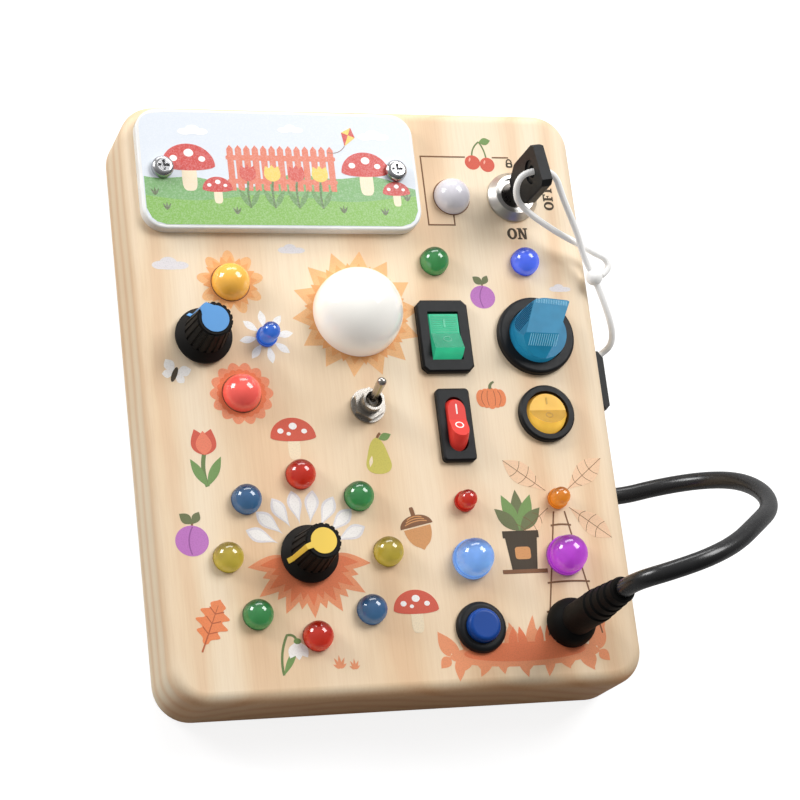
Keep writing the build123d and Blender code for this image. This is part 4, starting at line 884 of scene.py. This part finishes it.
# pale petal fan over the selector, orange leaves under it
for turn in np.linspace(24, 156, 8):
    lay("cloud", ray(SELECTOR, 8.6, 9.4, 2.0, turn, 1.6))
    lay("white", ray(SELECTOR, 9.4, 7.8, 1.35, turn, 1.6), 1)
below = (SELECTOR[0], SELECTOR[1] - 1.0)
leaf_lengths = (13, 10, 13.5, 10.5, 12.5, 10, 12, 10, 12.5, 10.5, 13.5, 10, 13)
for turn, length in zip(np.linspace(186, 354, 13), leaf_lengths):
    lay("tomato_pale", ray(below, 4.0, length, 2.3, turn, 0.8))
    lay("salmon_deep", ray(below, 4.0, 0.74 * length, 1.5, turn, 0.8), 1)

# meadow at the lower right: blades up and down from a long oval, a deeper row in its middle
lay("tomato_pale", oval(31.5, -74.6, 21.5, 3.4))
for i, x in enumerate(np.linspace(10.0, 53.0, 16)):
    sway = 1 if i % 2 else -1
    up_length, up_turn = 7.4 + 1.5 * (i % 3), 90 - 1.4 * (x - 33) + 11 * sway
    down_length, down_turn = 4.0 + 1.3 * (2 * i % 3), -90 + 1.2 * (x - 33) + 17 * sway
    lay("tomato_pale", petal(x, -74.4, up_length, 1.5, up_turn, 0.75))
    lay("tomato_pale", petal(x, -74.6, down_length, 1.5, down_turn, 0.75))
lay("salmon_deep", oval(31.5, -74.0, 17.5, 2.6), 1)
for x, lean in zip((24.4, 28.0, 31.6, 35.4, 39.2, 42.6), (104, 82, 99, 78, 95, 74)):
    lay("salmon_deep", petal(x, -73.6, 6.6, 1.25, lean, 0.75), 1)

# trellis with a pinwheel of four veined leaves behind the small orange lamp
PIN_START, PIN_LENGTH, PIN_HALF, PIN_POINT = 4.0, 14.5, 3.1, 1.3
hub_x, hub_y = PINWHEEL
for turn in (38, 142, 218, 322):
    c, s = round_way(turn)
    x, y = hub_x + PIN_START * c, hub_y + PIN_START * s
    lay("blush_pale", ray(PINWHEEL, PIN_START, PIN_LENGTH, PIN_HALF, turn, PIN_POINT))
    lay("bark_fine", band(bow(x, y, x + PIN_LENGTH * c, y + PIN_LENGTH * s, 0.0, 6), 0.16), 1)
    for reach in (4.5, 7.5, 10.5):
        w = PIN_HALF * math.sin(math.pi * (reach / PIN_LENGTH) ** PIN_POINT)
        mid_x, mid_y = x + reach * c, y + reach * s
        rib = bow(mid_x + w * s, mid_y - w * c, mid_x - w * s, mid_y + w * c, 0.9, 8)
        lay("bark_fine", band(rib, 0.14), 1)
for side in (-1, 1):
    lay("bark_fine", band(bow(hub_x + side * 1.6, -35.5, hub_x + side * 7.8, -70.0, 0.0, 4), 0.42), 1)
for y, half in ((-39.5, 3.0), (-55.5, 6.2), (-63.5, 7.6)):
    lay("bark_fine", band(bow(hub_x - half, y, hub_x + half, y, 0.3, 6), 0.5), 1)

# key switch line and lock sign
LINE_WIDTH = 0.38
for x0, y0, x1, y1 in (
    (27.5, 51.8, 27.5, 48.9),
    (27.5, 48.9, 19.7, 48.9),
    (19.7, 48.9, 19.7, 69.8),
    (19.7, 69.8, 33.0, 69.8),
    (41.6, 69.8, 46.2, 69.8),
):
    past = 0.5 * LINE_WIDTH / math.hypot(x1 - x0, y1 - y0)
    ux, uy = (x1 - x0) * past, (y1 - y0) * past
    lay("bark_fine", band([(x0 - ux, y0 - uy), (x1 + ux, y1 + uy)], LINE_WIDTH), 2)
lay("soot", band(oval(46.4, 68.2, 0.75, 1.05, corners=14, start=0, end=180), 0.35), 2)
lay("soot", box(46.4, 67.5, 2.0, 1.5, corner=0.5), 2)
lay("cream", box(46.4, 67.5, 0.9, 0.6, corner=0.8), 3)


def strokes(*boxes):
    """Straight bars of a letter, each (x0, y0, x1, y1) in shares of its height."""
    return [[[x0, y0], [x1, y0], [x1, y1], [x0, y1]] for x0, y0, x1, y1 in boxes]


# slab letters about their middle, one high
N_BARS = ((-0.35, -0.5, -0.18, 0.5), (0.19, -0.5, 0.34, 0.5))
N_FEET = ((-0.46, -0.5, -0.07, -0.38), (0.07, 0.38, 0.46, 0.5), (-0.46, 0.38, -0.2, 0.5))
F_BARS = ((-0.28, -0.5, -0.05, 0.5), (-0.38, -0.5, 0.08, -0.38), (-0.38, 0.37, 0.34, 0.5))
F_ENDS = ((0.22, 0.22, 0.32, 0.5), (-0.06, -0.04, 0.16, 0.06), (0.1, -0.12, 0.17, 0.14))
letters = {
    "O": list(half_rings(0.0, 0.0, (0.44, 0.5), (0.19, 0.35), 20)),
    "N": strokes(*N_BARS, *N_FEET) + [[[-0.35, 0.5], [-0.1, 0.5], [0.34, -0.5], [0.12, -0.5]]],
    "F": strokes(*F_BARS, *F_ENDS),
}


def write(word, x, y, tall, pitch, turn):
    """Sets a word's letters about a place, turned."""
    for i, letter in enumerate(word):
        for outline in letters[letter]:
            shifted = np.asarray(outline) * tall + np.array([(i - (len(word) - 1) / 2) * pitch, 0.0])
            lay("soot", moved(shifted, x, y, 1.0, turn), 2)


write("ON", 46.0, 46.4, 3.4, 3.15, 0)
write("OFF", 56.9, 57.6, 3.0, 2.6, 90)


# ---- picture on the title plate
def ground(colour, layer, across, top, foot):
    """Ground between a waved top edge and the plate's foot."""
    return colour, layer, np.concatenate([np.stack([across, top], 1), np.stack([across, foot], 1)[::-1]])


def plate_tulip(colour):
    """Tulip with two leaves."""
    for turn in (118, 62):
        yield "leaf", 5, petal(0, -11.5, 6.4, 0.8, turn)
    yield "stem", 5, band(bow(0, -11.5, 0, -3.0, 0.4), 0.6)
    for turn in (112, 68, 90):
        yield colour, 6, petal(0, -3.6, 5.0, 1.5, turn, 0.8)


def kite():
    """Four-cornered kite with two red quarters."""
    head, right, foot, left, cross = [0.0, 3.4], [2.3, 0.6], [0.0, -3.4], [-2.3, 0.6], [0.0, 0.6]
    yield "yellow_print", 4, [head, right, foot, left]
    yield "barn_red", 5, [head, right, cross]
    yield "barn_red", 5, [foot, left, cross]


def garden():
    """Sky, hills, picket fence, toadstools, tulips, grass and a kite, about the plate's middle."""
    yield "plate_sky", 0, box(0, 0, 78.0, 33.5, corner=0.17)
    across = np.linspace(-38.7, 38.7, 60)
    foot = np.interp(np.abs(across), [0.0, 33.4, 36.4, 38.0, 38.7], [-16.5, -16.5, -15.6, -14.0, -11.8])
    far = -3.0 + 1.6 * np.sin(across / 9.0) + 1.1 * np.sin(across / 4.1 + 1.0)
    near = -8.4 + 1.0 * np.sin(across / 7.0 + 2.0)
    yield ground("plate_hill", 1, across, far, foot)
    yield ground("plate_grass", 2, across, near, foot)
    for x, y, size in ((-24, 11.0, 0.7), (4, 12.0, 0.6), (28, 10.4, 0.75)):
        for puff in ((-3, 0, 3, 1.4), (3.1, 0, 3.1, 1.4), (0, 0.9, 2.9, 1.9)):
            yield "white", 1, moved(oval(*puff), x, y, size)
    for x in -14 + 2.4 * np.arange(13):
        left, right = x - 0.9, x + 0.9
        yield "rust_pale", 3, [[left, -6.4], [right, -6.4], [right, 6.0], [x, 7.2], [left, 6.0]]
    yield "rust_pale", 4, box(0.4, -3.6, 31.5, 1.5, corner=0.3)
    yield "rust_pale", 4, box(0.4, 3.4, 31.5, 1.6, corner=0.3)
    spots = (-2.7, 1.5, 0.7), (0.2, 2.6, 0.9), (2.6, 1.4, 0.65)
    for x, y, size in ((-26.0, -2.6, 1.5), (-18.4, -8.0, 0.85), (24.6, -3.6, 1.4), (33.0, -8.4, 0.8)):
        shapes = mushroom(3, "barn_red", (2.8, 5.4), (5.0, 4.4), 1.0, spots)
        yield from placed(shapes, x, y + 2.2 * size, size)
    for x, colour in ((-9.5, "tomato"), (-2.5, "yellow_print"), (4.4, "tomato"), (11.2, "yellow_print")):
        yield from placed(plate_tulip(colour), x, 0)
    for x, y in ((-33, -12.3), (-13.5, -13.4), (17.0, -12.8), (29.0, -13.3), (36.0, -9.0), (-36.0, -8.0)):
        for turn in (120, 90, 60):
            yield "moss", 4, petal(x, y, 2.4, 0.3, turn, 0.7)
    yield from placed(kite(), 20.5, 10.3, 0.9, -22)
    yield "bark", 3, band(bow(19.3, 7.4, 14.2, 5.4, 0.9), 0.18)


draw(garden(), *TITLE_PLATE, carrier="plate")

inks = {
    "cloud": (232, 228, 232),
    "white": (253, 250, 247),
    "cream": (247, 228, 196),
    "stem": (96, 126, 72),
    "leaf": (108, 150, 84),
    "moss": (98, 112, 74),
    "tomato": (214, 82, 66),
    "coral": (240, 126, 98),
    "tomato_pale": (240, 150, 106),
    "orange_pale": (246, 188, 130),
    "orange_mid": (242, 170, 106),
    "salmon": (243, 150, 112),
    "salmon_deep": (236, 122, 78),
    "pear": (206, 196, 92),
    "tan": (214, 150, 94),
    "bark": (124, 78, 50),
    "bark_fine": (116, 76, 50),
    "blush": (246, 178, 160),
    "blush_pale": (248, 208, 172),
    "plum": (190, 112, 196),
    "grape": (148, 76, 158),
    "carrot": (240, 134, 82),
    "rust": (186, 88, 52),
    "rust_pale": (226, 122, 92),
    "barn_red": (208, 62, 54),
    "yellow_print": (246, 208, 92),
    "soot": (24, 20, 18),
    "plate_sky": (224, 230, 238),
    "plate_hill": (124, 176, 108),
    "plate_grass": (132, 184, 82),
}
PRINT_LIFT, PRINT_STEP, PRINT_DEPTH = 0.012, 0.00025, 0.03


def prisms(name, pairs):
    """Thin prisms in one piece: each pair of loops, upper and lower, is closed by both and by the quads
    between them."""
    points, faces, start = [], [], 0
    for upper, lower in pairs:
        n = len(upper)
        points += [upper, lower]
        here = np.arange(n)
        after = (here + 1) % n
        faces += [start + here, start + n + here[::-1]]
        faces += list(start + np.stack([here, n + here, n + after, after], axis=1))
        start += 2 * n
    return piece_from(name, np.concatenate(points) * MM, faces, smooth=False)


def carried(piece, finish, body):
    """Gives a new piece its finish and the body that it rides on."""
    finish_of(piece, finish)
    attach(piece, body)


def printed(name, shapes, base):
    """One ink: each outline is a prism that starts under the base and stands off it by its rank."""
    pairs = []
    for outline, rank in shapes:
        twice = outline[:, 0] * np.roll(outline[:, 1], -1) - outline[:, 1] * np.roll(outline[:, 0], -1)
        if twice.sum() < 0:
            outline = outline[::-1]
        heights = base + PRINT_LIFT + PRINT_STEP * rank, base - PRINT_DEPTH
        pairs.append([np.column_stack([outline, np.full(len(outline), height)]) for height in heights])
    return prisms(name, pairs)


ranked = {}
for rank, (key, outline, _) in enumerate(sorted(drawn, key=lambda shape: shape[2])):
    ranked.setdefault(key, []).append((outline, rank))
for (colour, carrier), shapes in ranked.items():
    shade = tone(*inks[colour])
    if carrier == "board":
        carried(printed("print_" + colour, shapes, FACE), ink(colour, shade), "board")
    else:
        carried(printed("plate_print_" + colour, shapes, PLATE_TOP), plate_ink(colour, shade), "board")


# ---- marks on the rockers
TIP = math.radians(13.0)
PIVOT_HEIGHT = 22.5
MARK_DEPTH = 0.05
across = np.array([1.0, 0.0, 0.0])


def turn_outwards(piece):
    """Turns all faces of a closed piece outwards."""
    work = bmesh.new()
    work.from_mesh(piece.data)
    bmesh.ops.recalc_face_normals(work, faces=work.faces)
    work.to_mesh(piece.data)
    work.free()


def rocker_top(place, half, end):
    """Both halves of a rocker's top at rest, which meet in a valley line over the pivot, at a height of
    end - sqrt(half^2 - end^2) * tan(tip). Returns a point of that line, then for the level and for the
    steep half the way out to its end and its normal."""
    up = np.array([0.0, math.sin(TIP), math.cos(TIP)])
    along = np.array([0.0, math.cos(TIP), -math.sin(TIP)])
    valley = np.array([*place, PIVOT_HEIGHT]) + (end - math.sqrt(half**2 - end**2) * math.tan(TIP)) * up
    level = math.cos(TIP) * along + math.sin(TIP) * up
    steep = -math.cos(TIP) * along + math.sin(TIP) * up
    return valley, (level, np.cross(across, level)), (steep, -np.cross(across, steep))


def relief(name, outlines, origin, half, proud):
    """Raised marks on half a rocker: outline x runs across, y runs out along it, proud up its normal."""
    way, normal = half
    flats = [origin + outline[:, :1] * across + outline[:, 1:] * way for outline in outlines]
    piece = prisms(name, [(flat + normal * proud, flat - normal * MARK_DEPTH) for flat in flats])
    turn_outwards(piece)
    return piece


def signs(rocker, body, top, bar, ring, proud, finish):
    """I on the level half and O on the steep half of a rocker: bar is (y, width, height), ring is
    (y, half width, half height, line width), and proud is how far each stands off."""
    valley, level, steep = top
    y, width, height = bar
    i_sign = relief(rocker + "_bar", [box(0.0, y, width, height, corner=0.3)], valley, level, proud[0])
    y, half_x, half_y, width = ring
    loop = half_rings(0.0, y, (half_x, half_y), (half_x - width, half_y - width), 24)
    o_sign = relief(rocker + "_loop", loop, valley, steep, proud[1])
    carried(i_sign, finish, body)
    carried(o_sign, finish, body)


white_mark = moulded("white_mark", tone(246, 240, 236), 0.4, shade=0.02)
# painted light: a faint glow on the amber marks; their deeper low colour is painted shade
amber_mark = lens("amber_mark", tone(250, 206, 108), tone(240, 190, 80), clear=0.0, painted_glow=0.05)
red_top = rocker_top(RED_ROCKER, 7.5, 5.0)
bar, ring = (3.1, 0.42, 2.9), (1.9, 1.25, 1.15, 0.34)
signs("red_rocker", "red_rocker_body", red_top, bar, ring, (0.03, 0.03), white_mark)
round_top = rocker_top(ROUND_ROCKER, 5.95, 3.7)
bar, ring = (2.7, 0.5, 2.0), (1.9, 1.1, 1.0, 0.3)
signs("amber_rocker", "round_rocker_body", round_top, bar, ring, (0.10, 0.10), amber_mark)


# ---- ribs of the clear caps
BAR_SIDES = 8
ASKEW = np.array([0.31, 0.22, 0.925])


def bars(name, starts, ends, radius):
    """Round bars between pairs of places: each end is centre + radius * (cos a * n1 + sin a * n2), n1 and
    n2 square to the bar, closed flat; no bar lies along the askew direction."""
    way = ends - starts
    way /= np.linalg.norm(way, axis=1, keepdims=True)
    n1 = np.cross(way, ASKEW)
    n1 /= np.linalg.norm(n1, axis=1, keepdims=True)
    n2 = np.cross(way, n1)
    a = np.linspace(0.0, 2 * np.pi, BAR_SIDES, endpoint=False)[None, :, None]
    ring = radius * (np.cos(a) * n1[:, None] + np.sin(a) * n2[:, None])
    points = np.concatenate([starts[:, None] + ring, ends[:, None] + ring], axis=1).reshape(-1, 3)
    near = 2 * BAR_SIDES * np.arange(len(starts))[:, None] + np.arange(BAR_SIDES)
    far, turned = near + BAR_SIDES, np.roll(near, -1, axis=1)
    quads = np.stack([near, turned, BAR_SIDES + turned, far], axis=-1).reshape(-1, 4)
    piece = piece_from(name, points * MM, [*quads, *near, *far], smooth=False)
    turn_outwards(piece)
    return piece


def way_out(degrees):
    """Flat direction at an angle about the board's normal."""
    return np.array([*round_way(degrees), 0.0])


# the grip: its facets lean in from its foot, and the left one ends on the front one or on the round edge
UP = np.array([0.0, 0.0, 1.0])
GRIP_FOOT = np.array([*GRIP, 27.5])
FACET_OUT, FACET_HEIGHT, ROUND_EDGE = 7.9, 6.0, 7.8
LEFT_LEAN, LEFT_FACING = 2.5, 158.3
FRONT_LEAN, FRONT_FACING = 5.3, 267.0
CORNER_COS, CORNER_SIN = 0.3206, 0.9472
RIB_CLIMB, RIB_MARGIN, RIB_RADIUS = 0.15, 0.35, 0.13
CROWN_FACING, CROWN_RIB_RADIUS = 83.6, 0.09

# painted highlight and shade: the front and crown ribs are lighter blue, the left ribs darker blue, than the
# grip they stand on
grip_rib_highlight = lens("blue_rib_highlight", tone(140, 208, 232), tone(120, 196, 226), skin_gloss=0.2)
grip_rib_shade = lens("blue_rib_shade", tone(10, 66, 108), tone(10, 66, 108), painted_glow=0.1, skin_gloss=0.3)

# each left rib starts at its own share of the height and climbs as it runs
start_share = np.linspace(-0.62, 1.02, 12)[:, None]
run = np.linspace(-6.0, 6.0, 241)[None, :]
share = start_share + RIB_CLIMB * run
out_left, out_front = FACET_OUT - LEFT_LEAN * share, FACET_OUT - FRONT_LEAN * share
reach = np.sqrt(np.clip(ROUND_EDGE**2 - out_left**2, 0.0, None))
near_end = np.minimum((out_front + CORNER_COS * out_left) / CORNER_SIN, reach)
inside = (share > 0.05) & (share < 0.95) & (run < reach - RIB_MARGIN) & (run > RIB_MARGIN - near_end)
long_enough = inside.sum(axis=1) > 16
low = np.where(inside, run, 99.0).min(axis=1)[long_enough][:, None]
high = np.where(inside, run, -99.0).max(axis=1)[long_enough][:, None]


def on_left_facet(along):
    """Place on the left facet at a run along it, for each rib."""
    rise = start_share[long_enough] + RIB_CLIMB * along
    outwards = (FACET_OUT - LEFT_LEAN * rise) * way_out(LEFT_FACING)
    return GRIP_FOOT + outwards + along * way_out(LEFT_FACING - 90.0) + FACET_HEIGHT * rise * UP


left_ribs = bars("grip_left_ribs", on_left_facet(low), on_left_facet(high), RIB_RADIUS)
step = np.arange(-5.0, 3.0, 0.66)[:, None]
lip = GRIP_FOOT + 2.75 * way_out(FRONT_FACING) + 5.85 * UP + step * way_out(FRONT_FACING + 90.0)
front_ribs = bars("grip_front_ribs", lip, lip + 2.5 * way_out(FRONT_FACING) - 2.83 * UP, RIB_RADIUS)
step = np.arange(-3.2, 6.0, 0.5)[:, None]
crown = GRIP_FOOT + 6.1 * way_out(CROWN_FACING) + FACET_HEIGHT * UP + step * way_out(CROWN_FACING - 90.0)
crown_ribs = bars("grip_crown_ribs", crown, crown + 1.3 * way_out(CROWN_FACING), CROWN_RIB_RADIUS)
for piece, finish in ((left_ribs, grip_rib_shade), (front_ribs, grip_rib_highlight), (crown_ribs, grip_rib_highlight)):
    carried(piece, finish, "rotary")

# painted highlight: the green rocker's ribs and I and O marks are a lighter green than the rocker
green_raised_highlight = lens("green_rib_highlight", tone(112, 214, 172), tone(84, 196, 150), skin_gloss=0.2)
green_top = rocker_top(GREEN_ROCKER, 6.74, 3.9)
half_rib = 3.7 * across
valley, (level_way, _), (steep_way, _) = green_top
for name, pitch, way, radius in (
    ("green_level_ribs", np.arange(0.45, 5.2, 0.55), level_way, 0.11),
    ("green_steep_ribs", np.arange(0.5, 5.2, 0.38), steep_way, 0.07),
):
    rows = valley + pitch[:, None] * way
    carried(bars(name, rows - half_rib, rows + half_rib, radius), green_raised_highlight, "green_rocker_body")
bar, ring = (2.9, 0.6, 2.5), (2.4, 1.35, 1.1, 0.4)
signs("green_rocker", "green_rocker_body", green_top, bar, ring, (0.2, 0.16), green_raised_highlight)


# ---- floor, light and air
def floor():
    """White table top that fades into the white surround but keeps the board's soft shadow."""
    half, low = 4.0, -0.0002
    points = np.array([[-half, -half, low], [half, -half, low], [half, half, low], [-half, half, low]])
    table = piece_from("table_top", points, [[0, 1, 2, 3]], smooth=False)
    finish, tree, shader = start_finish("table_white")
    feed(tree, shader, {"Base Color": (0.40, 0.40, 0.40, 1.0), "Roughness": 0.9, "Specular IOR Level": 0.0})
    seen = add(tree, "LightPath").outputs["Is Camera Ray"]
    lift = add(tree, "Emission", {"Color": WHITE, "Strength": reckon(tree, "MULTIPLY", seen, 0.82)})
    both = add(tree, "AddShader", {0: shader.outputs[0], 1: lift.outputs[0]})
    feed(tree, tree.nodes["Material Output"], {"Surface": both.outputs[0]})
    finish_of(table, finish)


AIM = Vector((0.0, 0.0, 0.02))


def soft_box(name, place, width, height, power):
    """Rectangular studio lamp aimed at the board."""
    lamp = bpy.data.lights.new(name, "AREA")
    lamp.shape = "RECTANGLE"
    lamp.size = width
    lamp.size_y = height
    lamp.energy = power
    holder = bpy.data.objects.new(name, lamp)
    turn = (AIM - Vector(place)).to_track_quat("-Z", "Y").to_matrix().to_4x4()
    holder.matrix_world = Matrix.Translation(Vector(place)) @ turn
    bpy.context.collection.objects.link(holder)


def air():
    """White surround: full white to the eye; as light it is dimmer, and brightest from the head side."""
    world = bpy.data.worlds.new("surround")
    bpy.context.scene.world = world
    world.use_nodes = True
    tree = world.node_tree
    seen = add(tree, "LightPath").outputs
    shown = reckon(tree, "MAXIMUM", seen["Is Camera Ray"], seen["Is Transmission Ray"])
    sky = parts_of(tree, add(tree, "TexCoord").outputs["Generated"])
    head = spread(tree, sky["Y"], to=(0.06, 0.42), of=(-0.8, 0.7))
    side = spread(tree, sky["X"], to=(0.14, 0.0), of=(-1.0, 1.0))
    strength = reckon(tree, "MAXIMUM", shown, reckon(tree, "ADD", head, side))
    feed(tree, tree.nodes["Background"], {"Color": WHITE, "Strength": strength})


floor()
air()
soft_box("key_light", (0.624, 0.528, 0.896), 0.64, 0.52, 9.9)
soft_box("left_light", (-0.800, 0.530, 0.30), 0.38, 0.36, 5.6)
soft_box("head_light", (0.02, 1.05, 0.42), 0.80, 0.28, 3.7)

scene = bpy.context.scene
scene.view_settings.view_transform = "Standard"
